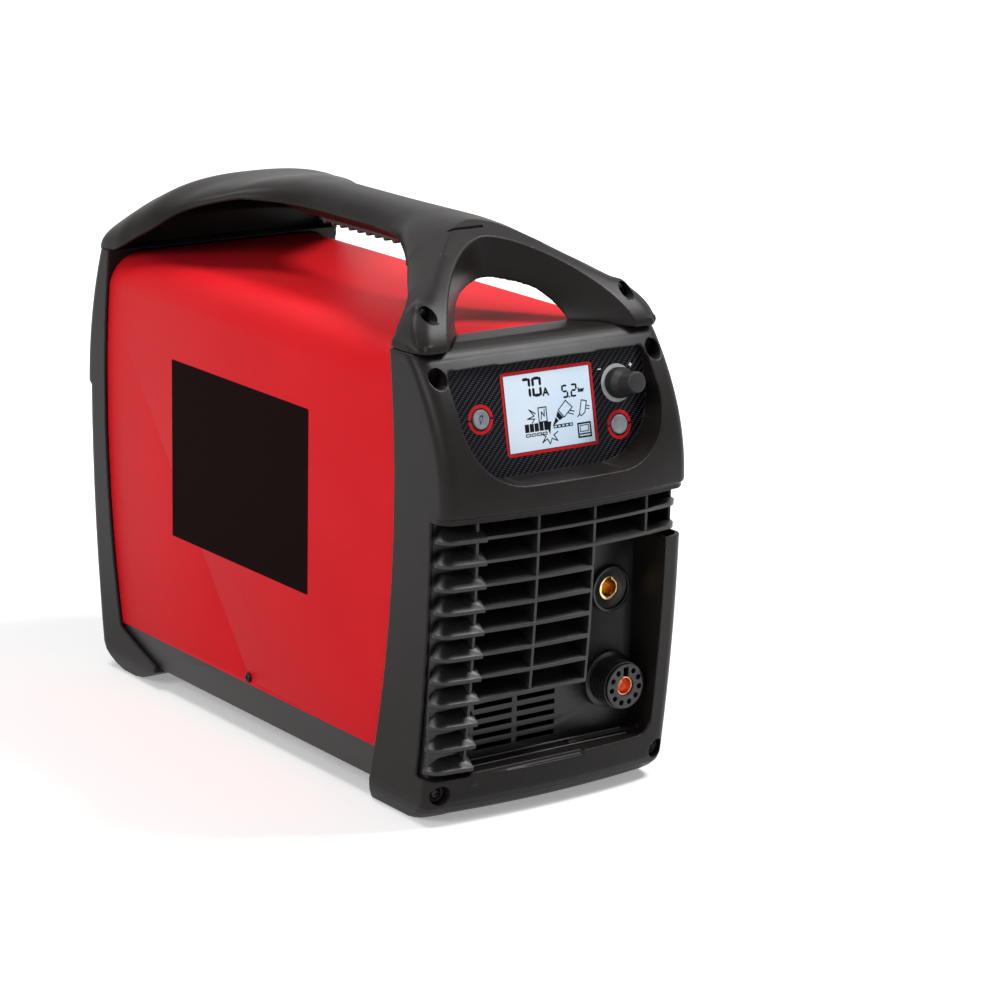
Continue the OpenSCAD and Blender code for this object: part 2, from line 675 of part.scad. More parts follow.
module base_tray() {
  w = inner_w - sheet_t;
  up = skirt_z + 26;
  color("#222224") difference() {
    translate([0, panel_back_y + rear_plate_t, 0]) rotate([90, 0, 0])
      linear_extrude(panel_back_y + rear_plate_t - panel_gap_y) polygon([
        [-w, base_z], [w, base_z], [w, up], [w - sheet_t, up], [w - sheet_t, floor_z],
        [-w + sheet_t, floor_z], [-w + sheet_t, up], [-w, up]]);
    for (s = [-1, 1]) translate([s * inner_w - 6, cover_screw_y, cover_screw_z]) rotate([0, 90, 0])
      cylinder(r = screw_r, h = 12, $fn = 24);
  }
}

module cover_screws() {
  color("#1b1b1c") for (s = [-1, 1]) mirror([s < 0 ? 1 : 0, 0, 0])
    translate([inner_w - 10, cover_screw_y, cover_screw_z]) rotate([0, 90, 0]) {
      cylinder(r = screw_r, h = 10.5, $fn = 24);
      translate([0, 0, 10]) cylinder(r = 4.4, h = 2.2, $fn = 24);
    }
}

// ---------- rear moulding ----------

back_lean = 22;
back_bow = 4;
rear_win_w = body_w - 48;
rear_win_foot = 32;
rear_win_top = shell_h - 36;
rear_seat = -cover_back - 5;               // seat of the screw heads, counted from the mirrored front

function back_mid(z) = -back_y + (z > lip_z ? back_lean * pow((z - lip_z) / (shell_h - lip_z), 2)
  : lip_step + lower_lean * pow((lip_z - z) / lip_z, 2)) + 0.8 * toe_in * toe(z);
function foot_run(z) = z < base_z ? blend(4, 56, pow(z / base_z, 0.7)) : blend(56, 0, (z - base_z) / 21);
function back_ring(z) = plan_ring(z, half_w - 6 * toe(z), back_mid(z), back_bow,
  min(rear_r, 0.7 * (-back_edge(z) - back_mid(z) - back_bow)), -back_edge(z) + foot_run(z));

// Mirrors a front-facing solid to the back
module to_back() {
  mirror([0, 1, 0]) children();
}

module rear_bezel() {
  levels = concat([for (l = front_levels) if (l < 30) l], [30, 40], [for (l = front_levels) if (l > 50) l]);
  color(mould) to_back() difference() {
    skin([for (z = levels) back_ring(z)]);
    difference() {
      intersection() {
        skin([for (z = cavity_levels) inner_ring(z, back_mid(z), back_bow, 2)]);
        face_front(0) linear_extrude(body_l) polygon(cover_outline(base_z, 0));
      }
      // collar round the window, which the rear panel is seated against
      face_front(-cover_back) linear_extrude(40)
        polygon(soft_rect(-rear_win_w / 2 - wall, rear_win_foot - wall, rear_win_w / 2 + wall,
          rear_win_top + wall, [11, 11, 11, 11]));
      // screw bosses
      for (s = [-1, 1], z = [screw_foot_z, screw_top_z]) rod_y(s * screw_x, z, 9, -back_y, -cover_back - 0.2);
    }
    face_front(0) linear_extrude(body_l)
      polygon(soft_rect(-rear_win_w / 2, rear_win_foot, rear_win_w / 2, rear_win_top, [8, 8, 8, 8]));
    for (s = [-1, 1]) {
      for (z = [screw_foot_z, screw_top_z]) {
        rod_y(s * screw_x, z, 6, -back_y - 10, rear_seat);
        rod_y(s * screw_x, z, 2.6, -back_y - 10, rear_seat + 10);
      }
    }
    translate([-half_w + 28, -back_y - 10, -1]) cube([body_w - 56, 250, 5]);
  }
}

// ---------- back panel and its fittings ----------

fan_slots = 11;
slot_pitch = 10;
control_z = shell_h - 84;                  // height of the mains switch and the cable gland
switch_x = 64 - half_w;
gland_x = half_w - 64;
air_x = half_w - 40;
air_z = shell_h - 146;

module rear_panel() {
  color("#262628") difference() {
    face_front(cover_back) linear_extrude(rear_plate_t) polygon(cover_outline(floor_z, 2 * sheet_t + 0.1));
    for (k = [0:fan_slots - 1], x = [-54, 2])
      translate([x, panel_back_y - 5, fan_z + (k - (fan_slots - 1) / 2) * slot_pitch - 3]) cube([52, 12, 6]);
    rod_y(switch_x, control_z, 8.2, panel_back_y - 5, panel_back_y + 10);
    rod_y(gland_x, control_z, 11.2, panel_back_y - 5, panel_back_y + 10);
    rod_y(air_x, air_z, 8.2, panel_back_y - 5, panel_back_y + 10);
    for (s = [-1, 1], z = [screw_foot_z, screw_top_z]) rod_y(s * screw_x, z, 2.6, panel_back_y - 5, panel_back_y + 10);
  }
}

motor_r = 20;
fan_bore = 0.475 * fan_w;
fan_front_y = panel_back_y - fan_l;

module fan_frame() {
  color("#1c1c1e") difference() {
    union() {
      difference() {
        face_front(panel_back_y) linear_extrude(fan_l)
          polygon(soft_rect(-fan_w / 2, fan_z - fan_w / 2, fan_w / 2, fan_z + fan_w / 2, [6, 6, 6, 6]));
        rod_y(0, fan_z, fan_bore, fan_front_y - 5, panel_back_y + 5, 72);
      }
      for (a = [0:90:270]) translate([0, panel_back_y - 6, fan_z]) rotate([0, a + 20, 0])
        translate([motor_r - 4, 0, -2.5]) cube([fan_bore - motor_r + 6, 5, 5]);
      rod_y(0, fan_z, motor_r, panel_back_y - 7, panel_back_y - 0.5);
      rod_y(0, fan_z, 7, panel_back_y - 24, panel_back_y - 2);
    }
    rod_y(0, fan_z, 2 + running, panel_back_y - 30, panel_back_y - 2.5);
  }
}

module fan_rotor() {
  hub_y = fan_front_y + 4;
  blades = 7;
  color("#34343a") {
    difference() {
      rod_y(0, fan_z, motor_r, hub_y, panel_back_y - 8);
      rod_y(0, fan_z, motor_r - 2.5, hub_y + 2.5, panel_back_y - 4);
    }
    rod_y(0, fan_z, 2, hub_y + 1, panel_back_y - 3);
    intersection() {
      for (k = [0:blades - 1]) translate([0, hub_y + 11, fan_z]) rotate([0, 360 * k / blades, 0])
        translate([motor_r - 1, 0, 0]) rotate([35, 0, 0]) translate([0, -1, -16]) cube([fan_bore, 2, 32]);
      difference() {
        rod_y(0, fan_z, fan_bore - 1.5, hub_y, hub_y + 22, 72);
        rod_y(0, fan_z, motor_r - 0.8, hub_y - 1, hub_y + 23, 72);
      }
    }
  }
}

switch_face = cover_back + 3;              // front of the switch escutcheon, towards the back

module mains_switch_body() {
  color("#1b1b1d") difference() {
    union() {
      translate([switch_x - 24, panel_back_y - 42, control_z - 24]) cube([48, 42, 48]);
      rod_y(switch_x, control_z, 8, panel_back_y - 1, cover_back + 1);
      face_front(switch_face) linear_extrude(3)
        polygon(soft_rect(switch_x - 30, control_z - 30, switch_x + 30, control_z + 30, [5, 5, 5, 5]));
    }
    rod_y(switch_x, control_z, 3 + running, panel_back_y - 30, switch_face + 5);
  }
}

module mains_switch_knob() {
  color("#b3261e") {
    rod_y(switch_x, control_z, 3, panel_back_y - 28, switch_face + 6);
    rod_y(switch_x, control_z, switch_d / 2, switch_face + 0.5, switch_face + 5);
    translate([switch_x - 5, switch_face + 4, control_z - switch_d / 2 + 2]) cube([10, 12, switch_d - 4]);
  }
}

module hex_y(x, z, r, y0, y1) {
  translate([x, y1, z]) rotate([90, 0, 0]) cylinder(r = r, h = y1 - y0, $fn = 6);
}

module cable_gland() {
  color("#202023") difference() {
    union() {
      rod_y(gland_x, control_z, 11, panel_back_y - 14, cover_back + 4);
      hex_y(gland_x, control_z, 16, cover_back, cover_back + 7);
      rod_y(gland_x, control_z, 13, cover_back + 6, cover_back + 15);
    }
    rod_y(gland_x, control_z, gland_bore_d / 2, panel_back_y - 20, cover_back + 30);
  }
}

module gland_nut() {
  color("#202023") difference() {
    hex_y(gland_x, control_z, 16, panel_back_y - 6, panel_back_y);
    rod_y(gland_x, control_z, 11.1, panel_back_y - 10, panel_back_y + 2);
  }
}

reg_l = 44;
reg_y = fan_front_y - 1 - reg_l;

module air_inlet() {
  color("#c9a24a") difference() {
    union() {
      hex_y(air_x, air_z, 12.5, cover_back, cover_back + 10);
      rod_y(air_x, air_z, 8, reg_y + reg_l, cover_back + 1);
    }
    rod_y(air_x, air_z, air_bore_d / 2, cover_back - 6, cover_back + 12);
    rod_y(air_x, air_z, 3.5, reg_y + reg_l - 5, cover_back + 12);
  }
}

module air_regulator() {
  color("#8f959a") union() {
    translate([air_x - 17, reg_y, air_z - 17]) cube([34, reg_l, 34]);
    translate([air_x, reg_y + 26, air_z - 60]) cylinder(r = 15, h = 45, $fn = fine);
    translate([air_x, reg_y + 26, air_z - 64]) cylinder(r = 6, h = 6, $fn = 24);
  }
}

valve_l = 40;

module air_valve() {
  color("#a8894a") union() {
    rod_y(air_x, air_z, 9, reg_y - valve_l, reg_y);
    translate([air_x - 11, reg_y - 32, air_z - 11]) cube([22, 22, 22]);
    translate([air_x - 12, reg_y - 33, air_z + 10]) cube([24, 24, 30]);
  }
}

// The hose runs forward and down in a long S to the back of the torch connector
hose_r = 5.5;
hose_steps = 16;

function hose_point(t) = let (y = blend(reg_y - valve_l, panel_gap_y + 34, t))
  [blend(air_x, socket_x, t), y, blend(air_z, torch_z, ease((t - 0.08) / 0.84))];

module air_hose() {
  sides = 8;
  color("#2b4f8c") skin(flip([for (k = [0:hose_steps]) let (t = k / hose_steps, c = hose_point(t),
    d = hose_point(min(1, t + 0.02)) - hose_point(max(0, t - 0.02)), n = [0, -d[2], d[1]] / norm([0, d[2], d[1]]))
    [for (i = [0:sides - 1]) let (a = 360 * i / sides) c + hose_r * (cos(a) * [1, 0, 0] + sin(a) * n)]]));
}

// ---------- screws ----------

module screw_y(x, z, seat, length) {
  rod_y(x, z, 2.4, seat - 1, seat + length, 24);
  rod_y(x, z, 4.4, seat - 3, seat, 24);
}

module front_screws() {
  color("#8a8d90") for (s = [-1, 1]) {
    screw_y(s * screw_top_x, screw_top_z, screw_seat_y, 13);
    screw_y(s * screw_x, screw_foot_z, front_y + 36, 20);
  }
}

module rear_screws() {
  color("#8a8d90") to_back() for (s = [-1, 1], z = [screw_foot_z, screw_top_z])
    screw_y(s * screw_x, z, rear_seat, 12);
}

// ---------- inside ----------

deck_z = 185;                              // top of the heatsink
sink_x0 = 15 - half_w;
sink_x1 = half_w - 65;
sink_y0 = front_y + 135;
sink_y1 = back_y - 115;
sink_l = sink_y1 - sink_y0;
sink_h = 55;

module heatsink() {
  fins = 13;
  gap = (sink_x1 - sink_x0 - 3) / (fins - 1);
  color("#aeb3b7") {
    translate([sink_x0, sink_y0, deck_z - 8]) cube([sink_x1 - sink_x0, sink_y1 - sink_y0, 8]);
    for (k = [0:fins - 1]) translate([sink_x0 + k * gap, sink_y0, deck_z - sink_h])
      cube([3, sink_y1 - sink_y0, sink_h - 7]);
  }
}

module board_brackets() {
  color("#8d9196") for (x = [sink_x0 - sheet_t, sink_x1])
    translate([x, 0, 0]) {
      translate([0, sink_y0 + 20, floor_z]) cube([sheet_t, sink_y1 - sink_y0 - 40, deck_z - floor_z]);
      translate([x < 0 ? 0 : -14 + sheet_t, sink_y0 + 20, floor_z]) cube([14, sink_y1 - sink_y0 - 40, sheet_t]);
    }
}

module power_modules() {
  color("#1e1e20") for (k = [0.11, 0.4, 0.68])
    translate([sink_x0 + 35, sink_y0 + k * sink_l, deck_z]) cube([70, 0.14 * sink_l, 12]);
}

board_z = deck_z + 12;

module power_board() {
  color("#1f6b3a") translate([sink_x0, sink_y0 + 5, board_z]) cube([sink_x1 - sink_x0, sink_y1 - sink_y0 - 10, 2]);
}

module capacitors() {
  color("#25272b") for (x = [30, 75], k = [0.16, 0.3, 0.68, 0.82])
    translate([sink_x0 + x, sink_y0 + k * sink_l, board_z + 2]) cylinder(r = 0.06 * sink_l, h = 50, $fn = 32);
}

core_x = sink_x0 + 70;
core_y = sink_y0 + 40;

module transformer_core() {
  color("#4a4a4d") difference() {
    translate([core_x - 42, core_y - 22, floor_z]) cube([84, 44, 80]);
    for (s = [-1, 1]) translate([core_x + s * 22 - 11, core_y - 30, floor_z + 14]) cube([22, 60, 52]);
  }
}

module transformer_winding() {
  color("#b06a2c") difference() {
    translate([0, 0, floor_z + 15]) linear_extrude(50)
      polygon(soft_rect(core_x - 30, core_y - 36, core_x + 30, core_y + 36, [10, 10, 10, 10]));
    translate([core_x - 11, core_y - 22, floor_z]) cube([22, 44, 80]);
  }
}

choke_y = sink_y1 - 90;
choke_r = 36;

module output_choke() {
  color("#8a4a22") translate([core_x, choke_y, floor_z]) rotate_extrude($fn = fine)
    polygon(soft_rect(choke_r - 16, 0, choke_r + 12, 34, [8, 8, 8, 8]));
}

module choke_clamp() {
  color("#b9bcc0") translate([core_x, choke_y, floor_z]) {
    cylinder(r = 4, h = 40, $fn = 24);
    translate([0, 0, 34]) cylinder(r = 26, h = 3, $fn = fine);
  }
}

// ---------- handle ----------

top_z = shell_h + handle_h;
arch_back = front_y + 87;                  // rear face of the legs
hood_back = back_y - 22;
grip_front = arch_back + 116;
grip_back = hood_back - 178;
leg_w = half_w - 1;
crown_z = top_z - grip_t;                  // underside of the grip
insert_w = 34;

// Stations from front to back. Each one is a section across the handle: y, half-width, height of the
// side edge, height of the crown, power of the shoulder, half-width inside, height inside.
handle_stations = [
  [arch_back - 44, leg_w - 13, roof_z, top_z - 6, 1.45, 0.4 * arch_w, roof_z + 3],
  [arch_back - 38, leg_w - 6, roof_z, top_z - 5, 1.45, 0.4 * arch_w, roof_z + 3],
  [arch_back - 30, leg_w - 1.5, roof_z, top_z - 4, 1.45, 0.4 * arch_w, roof_z + 3],
  [arch_back - 20, leg_w, roof_z, top_z - 4, 1.45, 0.4 * arch_w, roof_z + 3],
  [arch_back, leg_w, roof_z, top_z - 4, 1.4, 0.4 * arch_w, roof_z + 3],
  [arch_back + 2, leg_w - 9, roof_z + 23, top_z - 4, 1.1, 0.4 * arch_w, roof_z + 25],
  [arch_back + 10, leg_w - 19, roof_z + 32, top_z - 3.5, 1.12, 0.4 * arch_w, roof_z + 34],
  [arch_back + 25, leg_w - 30, roof_z + 35.5, top_z - 2, 1.25, 0.4 * arch_w, roof_z + 37.5],
  [arch_back + 42, leg_w - 42, roof_z + 40, top_z - 1.5, 1.45, 0.36 * arch_w, roof_z + 41.5],
  [arch_back + 59, leg_w - 54, roof_z + 47, top_z - 1, 1.7, 0.4 * arch_w, roof_z + 43],
  [arch_back + 83, grip_w / 2 + 16, top_z - 23, top_z - 0.5, 2.1, grip_w / 2 + 12, crown_z - 1],
  [arch_back + 103, grip_w / 2 + 6.5, top_z - 21, top_z, 2.3, grip_w / 2 + 3, crown_z],
  [grip_front + 9, grip_w / 2 + 2, top_z - 20, top_z, 2.5, grip_w / 2 - 1, crown_z],
  [blend(grip_front, grip_back, 0.33), grip_w / 2, top_z - 19, top_z, 2.5, grip_w / 2 - 1.5, crown_z],
  [blend(grip_front, grip_back, 0.65), grip_w / 2, top_z - 19, top_z, 2.5, grip_w / 2 - 1.5, crown_z],
  [grip_back - 15, grip_w / 2 + 0.5, top_z - 19, top_z, 2.5, grip_w / 2 - 1, crown_z],
  [grip_back + 6, grip_w / 2 + 4, top_z - 19, top_z - 0.5, 2.5, grip_w / 2 + 1, crown_z + 1],
  [grip_back + 22, grip_w / 2 + 9, top_z - 19, top_z - 0.8, 2.5, grip_w / 2 + 5.6, crown_z + 6],
  [grip_back + 34, grip_w / 2 + 15, top_z - 19, top_z - 1.5, 2.3, grip_w / 2 + 11.6, top_z - 8],
  [grip_back + 48, 0.468 * leg_w, top_z - 19, top_z - 3.2, 2.2, 0.468 * leg_w - hood_t, top_z - 8],
  [grip_back + 66, 0.642 * leg_w, top_z - 23.5, top_z - 6, 2, 0.642 * leg_w - hood_t, top_z - 10.5],
  [grip_back + 86, 0.789 * leg_w, top_z - 32, top_z - 7.5, 2, 0.789 * leg_w - hood_t, top_z - 12.5],
  [grip_back + 110, 0.899 * leg_w, shell_h + 24, top_z - 8.5, 2.4, 0.899 * leg_w - hood_t, top_z - 13.5],
  [hood_back - 46, 0.954 * leg_w, shell_h + 12, top_z - 18, 2.6, 0.954 * leg_w - hood_t, top_z - 22.5],
  [hood_back - 30, leg_w - 1.5, shell_h + 3, top_z - 27.5, 2.7, leg_w - 1.5 - hood_t, top_z - 32],
  [hood_back - 16, leg_w - 1, shell_h, top_z - 37, 2.8, leg_w - 1 - hood_t, top_z - 42],
  [hood_back - 5, leg_w - 1.5, shell_h, top_z - 46, 2.8, leg_w - 2 - hood_t, top_z - 54],
  [hood_back - 4, leg_w - 1.8, shell_h, top_z - 48, 2.8, leg_w - 2.5 - hood_t, shell_h + 0.6],
  [hood_back - 1.5, leg_w - 3, shell_h, top_z - 53, 2.8, leg_w - 4 - hood_t, shell_h + 0.5],
  [hood_back, leg_w - 5.5, shell_h, top_z - 62, 2.8, leg_w - 7 - hood_t, shell_h + 0.4]];

ceiling_square = 2.6;                      // how square the ceiling is under the grip and the hood

// Half a superellipse over a foot line, from left to right
function over(w, foot, top, p, n) = [for (i = [0:n]) let (a = 180 - 180 * i / n,
  k = pow(pow(abs(cos(a)), p) + pow(abs(sin(a)), p), -1 / p)) [w * cos(a) * k, foot + (top - foot) * sin(a) * k]];

// The ceiling of the hood is no squarer than the hood over it, so that the wall keeps its thickness
function ceiling_power(h) = h[0] > grip_back ? min(ceiling_square, h[4]) : ceiling_square;

arch_sides = 24;
function handle_ring(h) = concat(
  [for (p = over(h[1], h[2], h[3], h[4], arch_sides)) [p[0], h[0], p[1]]],
  [for (p = flip(over(h[5], h[2], h[6], ceiling_power(h), arch_sides))) [p[0], h[0], p[1]]]);

// The front of the handle leans back more and more with the height above its seat. So does the rear
// edge of the opening between the legs, and the recess runs from the one to the other.
lean_foot = front_y + 48;
rim_w = leg_w - 24;                        // half-width of the recess at the seat
rim_h = handle_h - 11;                     // height of the recess above the seat
function up_seat(z) = max(0, z - shell_h);
function lean_y(z) = lean_foot + 1.25 * rim_h * pow(up_seat(z) / rim_h, 1.4);
function edge_y(z) = arch_back - 1 + 1.27 * up_seat(z);
function rear_y(z) = arch_back - 0.6 + 48 * pow(up_seat(z) / 39, 6);

// Arched outlines on these surfaces, from the left foot to the right one
function rim_line(k) = [for (p = over(k * rim_w, roof_z, shell_h + k * rim_h, 1.6, arch_sides)) [p[0], lean_y(p[1]), p[1]]];
function edge_line(k) = [for (p = over(k * arch_w / 2, roof_z, roof_z + k * (arch_h - 4), 1.65, arch_sides))
  [p[0], edge_y(p[1]), p[1]]];
function rear_line() = [for (p = over(leg_w - 2, roof_z, shell_h + 39, 2.6, arch_sides)) [p[0], rear_y(p[1]), p[1]]];
function brow_line() = [for (p = over(leg_w - 3, roof_z, top_z - 7, 1.5, arch_sides)) [p[0], lean_y(p[1]) + 4, p[1]]];

// An arched line closed by two points below the seat, moved along Y
function void_ring(pts, dy) = let (foot = roof_z - 20, n = len(pts) - 1) concat(
  [for (p = pts) p + [0, dy, 0]], [[pts[n][0], pts[n][1] + dy, foot], [pts[0][0], pts[0][1] + dy, foot]]);

module leg_recess() {
  steps = 5;
  rim = rim_line(1);
  edge = edge_line(1);
  skin(concat(
    [void_ring(rim, -70)],
    [for (k = [0:steps]) void_ring(rim + (edge - rim) * k / steps, 0)],
    [void_ring(edge, 34)]));
}

// Walls of the recess, behind the front and between the legs
module leg_walls() {
  arch_skin([concat(brow_line(), flip(rim_line(0.93))), concat(rear_line(), flip(edge_line(0.9)))]);
}

// What lies ahead of the leaning front
module ahead_of_handle() {
  steps = 10;
  pts = concat([[front_y - 60, roof_z - 20], [lean_foot, roof_z - 20]],
    [for (i = [0:steps]) let (z = shell_h + i * (handle_h + 6) / steps) [lean_y(z), z]],
    [[front_y - 60, top_z + 6]]);
  translate([-body_w, 0, 0]) rotate([90, 0, 90]) linear_extrude(2 * body_w) polygon(pts);
}

handle_screw_x = half_w - 21;
handle_screw_z = shell_h + 21.5;
handle_seat_y = lean_y(handle_screw_z) + 11;

module handle() {
  slot_l = 40;
  color(mould) difference() {
    union() {
      arch_skin([for (h = handle_stations) handle_ring(h)]);
      leg_walls();
      for (s = [-1, 1]) rod_y(s * handle_screw_x, handle_screw_z, 7.4, handle_seat_y - 11, handle_seat_y + 6);
    }
    leg_recess();
    ahead_of_handle();
    // seam across the top
    translate([-slot_l / 2, arch_back + 46, top_z - 5]) cube([slot_l, 1.2, 20]);
    // recess for the lower half of the grip
    translate([-insert_w / 2, grip_front + 8, crown_z - 8]) cube([insert_w, grip_back - grip_front - 18, 12]);
    for (s = [-1, 1]) {
      rod_y(s * handle_screw_x, handle_screw_z, 6, front_y, handle_seat_y);
      rod_y(s * handle_screw_x, handle_screw_z, 2.6, front_y, handle_seat_y + 3);
    }
  }
}

module handle_insert() {
  ridges = 9;
  pitch = 12;
  color(dark) union() {
    translate([-insert_w / 2, grip_front + 8, crown_z - 1]) cube([insert_w, grip_back - grip_front - 18, 5]);
    for (k = [0:ridges - 1]) translate([-insert_w / 2, grip_front + 14 + k * pitch, crown_z - 0.6])
      rotate([0, 90, 0]) cylinder(r = 2.6, h = insert_w, $fn = 20);
  }
}

module handle_screws() {
  color("#8a8d90") for (s = [-1, 1])
    screw_y(s * handle_screw_x, handle_screw_z, handle_seat_y, 2.5);
}

front_bezel();
front_grille();
connector_panel();
control_overlay();
display_window();
display_module();
control_board();
board_spacers();
encoder_body();
encoder_shaft();
control_knob();
button_left();
button_right();
button_switches();
earth_socket_body();
earth_socket_contact();
earth_socket_nut();
torch_connector_body();
torch_connector_contact();
torch_connector_nut();
red_cover();
base_tray();
rear_bezel();
rear_panel();
fan_frame();
fan_rotor();
mains_switch_body();
mains_switch_knob();
cable_gland();
gland_nut();
air_inlet();
air_regulator();
air_valve();
air_hose();
handle();
handle_insert();
front_screws();
rear_screws();
handle_screws();
cover_screws();
board_brackets();
heatsink();
power_modules();
power_board();
capacitors();
transformer_core();
transformer_winding();
output_choke();
choke_clamp();
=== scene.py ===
import bpy
import json
import math
import numpy as np
from mathutils import Matrix, Vector


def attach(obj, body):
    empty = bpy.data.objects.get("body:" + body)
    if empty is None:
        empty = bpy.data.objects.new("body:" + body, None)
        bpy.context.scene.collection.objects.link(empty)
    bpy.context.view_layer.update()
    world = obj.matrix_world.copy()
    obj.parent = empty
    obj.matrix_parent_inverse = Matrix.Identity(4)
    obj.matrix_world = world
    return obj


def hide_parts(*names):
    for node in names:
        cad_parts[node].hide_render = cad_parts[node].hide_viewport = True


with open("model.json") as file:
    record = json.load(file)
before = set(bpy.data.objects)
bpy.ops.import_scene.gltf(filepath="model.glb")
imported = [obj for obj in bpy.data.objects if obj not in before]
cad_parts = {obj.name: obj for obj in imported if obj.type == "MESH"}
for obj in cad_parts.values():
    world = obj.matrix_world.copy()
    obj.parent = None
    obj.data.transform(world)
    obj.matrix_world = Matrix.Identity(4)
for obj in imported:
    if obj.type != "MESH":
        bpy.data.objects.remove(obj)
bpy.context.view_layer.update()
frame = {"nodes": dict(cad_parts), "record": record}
mm = 0.001
print("frame loaded,", len(frame["nodes"]), "nodes")

cameraPlan = {"place": (-1.48523, -2.19325, 0.89034), "look": (0.57117, 0.77905, -0.25857),
              "roll": 1.17, "lens": 125.66}


def makeCamera(plan):
    bpy.ops.object.camera_add(location=plan["place"])
    camera = bpy.context.object
    camera.name = "studioCamera"
    look = Vector(plan["look"]).normalized()
    side = look.cross(Vector((0, 0, 1))).normalized()
    top = side.cross(look)
    roll = math.radians(plan["roll"])
    right = side * math.cos(roll) + top * math.sin(roll)
    up = right.cross(look)
    turn = Matrix((right, up, -look)).transposed().to_4x4()
    camera.matrix_world = Matrix.Translation(plan["place"]) @ turn
    camera.data.lens = plan["lens"]
    camera.data.sensor_width = 36
    camera.data.clip_start, camera.data.clip_end = 0.05, 30
    bpy.context.scene.camera = camera


makeCamera(cameraPlan)


def clearSelection():
    if bpy.context.object and bpy.context.object.mode != "OBJECT":
        bpy.ops.object.mode_set(mode="OBJECT")
    bpy.ops.object.select_all(action="DESELECT")


def pickUp(piece):
    clearSelection()
    piece.select_set(True)
    bpy.context.view_layer.objects.active = piece
    return piece


def applyAll(piece):
    pickUp(piece)
    for modifier in list(piece.modifiers):
        bpy.ops.object.modifier_apply(modifier=modifier.name)
    return piece


def settle(piece, place):
    # puts a piece modelled at the centre of the world where it belongs, and bakes that into its mesh
    piece.matrix_world = place @ piece.matrix_world
    pickUp(piece)
    bpy.ops.object.transform_apply(location=True, rotation=True, scale=True)
    return piece


def fitOut(piece, finishName, body="unit", replaced=()):
    piece.data.materials.clear()
    piece.data.materials.append(finishes[finishName])
    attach(piece, body)
    if replaced:
        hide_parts(*replaced)
    return piece


def copyNode(node, name):
    source = frame["nodes"][node]
    piece = bpy.data.objects.new(name, source.data.copy())
    bpy.context.scene.collection.objects.link(piece)
    pickUp(piece)
    bpy.ops.object.mode_set(mode="EDIT")
    bpy.ops.mesh.select_all(action="SELECT")
    bpy.ops.mesh.customdata_custom_splitnormals_clear()
    bpy.ops.mesh.remove_doubles(threshold=0.00001)
    bpy.ops.object.mode_set(mode="OBJECT")
    return piece


def triangleCount(piece):
    return sum(len(face.vertices) - 2 for face in piece.data.polygons)


def joinUp(pieces, name):
    clearSelection()
    for piece in pieces:
        piece.select_set(True)
    bpy.context.view_layer.objects.active = pieces[0]
    bpy.ops.object.join()
    pieces[0].name = name
    return pieces[0]


def smoothByAngle(piece, degrees=35):
    pickUp(piece)
    bpy.ops.object.shade_smooth_by_angle(angle=math.radians(degrees))
    return piece


def easeEdges(piece, width, segments=2, degrees=32):
    # flat faces are made whole again first, so that the bevel runs cleanly
    pickUp(piece)
    bpy.ops.object.mode_set(mode="EDIT")
    bpy.ops.mesh.select_all(action="SELECT")
    bpy.ops.mesh.dissolve_limited(angle_limit=math.radians(1.5))
    bpy.ops.object.mode_set(mode="OBJECT")
    bevel = piece.modifiers.new("edges", "BEVEL")
    bevel.width = width * mm
    bevel.segments = segments
    bevel.limit_method = "ANGLE"
    bevel.angle_limit = math.radians(degrees)
    bevel.use_clamp_overlap = True
    bevel.harden_normals = False
    applyAll(piece)
    return smoothByAngle(piece, 40)


def turned(name, profile, sides=48):
    # a round piece: a disc that is extruded and scaled from step to step, (radius, height) in mm
    clearSelection()
    radius, height = profile[0]
    bpy.ops.mesh.primitive_circle_add(vertices=sides, radius=radius * mm, fill_type="NGON",
                                      location=(0, 0, 0))
    piece = bpy.context.object
    piece.name = name
    bpy.ops.object.mode_set(mode="EDIT")
    bpy.ops.mesh.select_all(action="SELECT")
    bpy.ops.transform.translate(value=(0, 0, height * mm))
    for nextRadius, nextHeight in profile[1:]:
        bpy.ops.mesh.extrude_region_move(
            TRANSFORM_OT_translate={"value": (0, 0, (nextHeight - height) * mm)})
        grow = nextRadius / radius
        bpy.ops.transform.resize(value=(grow, grow, 1), center_override=(0, 0, nextHeight * mm))
        radius, height = nextRadius, nextHeight
    bpy.ops.mesh.select_all(action="SELECT")
    bpy.ops.mesh.normals_make_consistent(inside=False)
    bpy.ops.object.mode_set(mode="OBJECT")
    return piece


def fromPoints(name, points, faces):
    # a new piece, picked up in edit mode with everything selected
    mesh = bpy.data.meshes.new(name)
    mesh.from_pydata(points, [], faces)
    piece = bpy.data.objects.new(name, mesh)
    bpy.context.scene.collection.objects.link(piece)
    pickUp(piece)
    bpy.ops.object.mode_set(mode="EDIT")
    bpy.ops.mesh.select_all(action="SELECT")
    return piece


def flatPlate(name, outline, low, high):
    # a thin closed plate over an outline, in mm, between two heights
    points = [(x * mm, y * mm, low * mm) for x, y in outline]
    return raiseFaces(name, points, [range(len(outline))], high - low)


def flatRing(name, outerLine, innerLine, low, high):
    # a thin closed band between two outlines with as many points
    count = len(outerLine)
    points = [(x * mm, y * mm, low * mm) for x, y in list(outerLine) + list(innerLine)]
    faces = [(i, (i + 1) % count, count + (i + 1) % count, count + i) for i in range(count)]
    return raiseFaces(name, points, faces, high - low)


def raiseFaces(name, points, faces, thick):
    piece = fromPoints(name, points, faces)
    bpy.ops.mesh.extrude_region_move(TRANSFORM_OT_translate={"value": (0, 0, thick * mm)})
    bpy.ops.mesh.select_all(action="SELECT")
    bpy.ops.mesh.normals_make_consistent(inside=False)
    bpy.ops.object.mode_set(mode="OBJECT")
    return piece


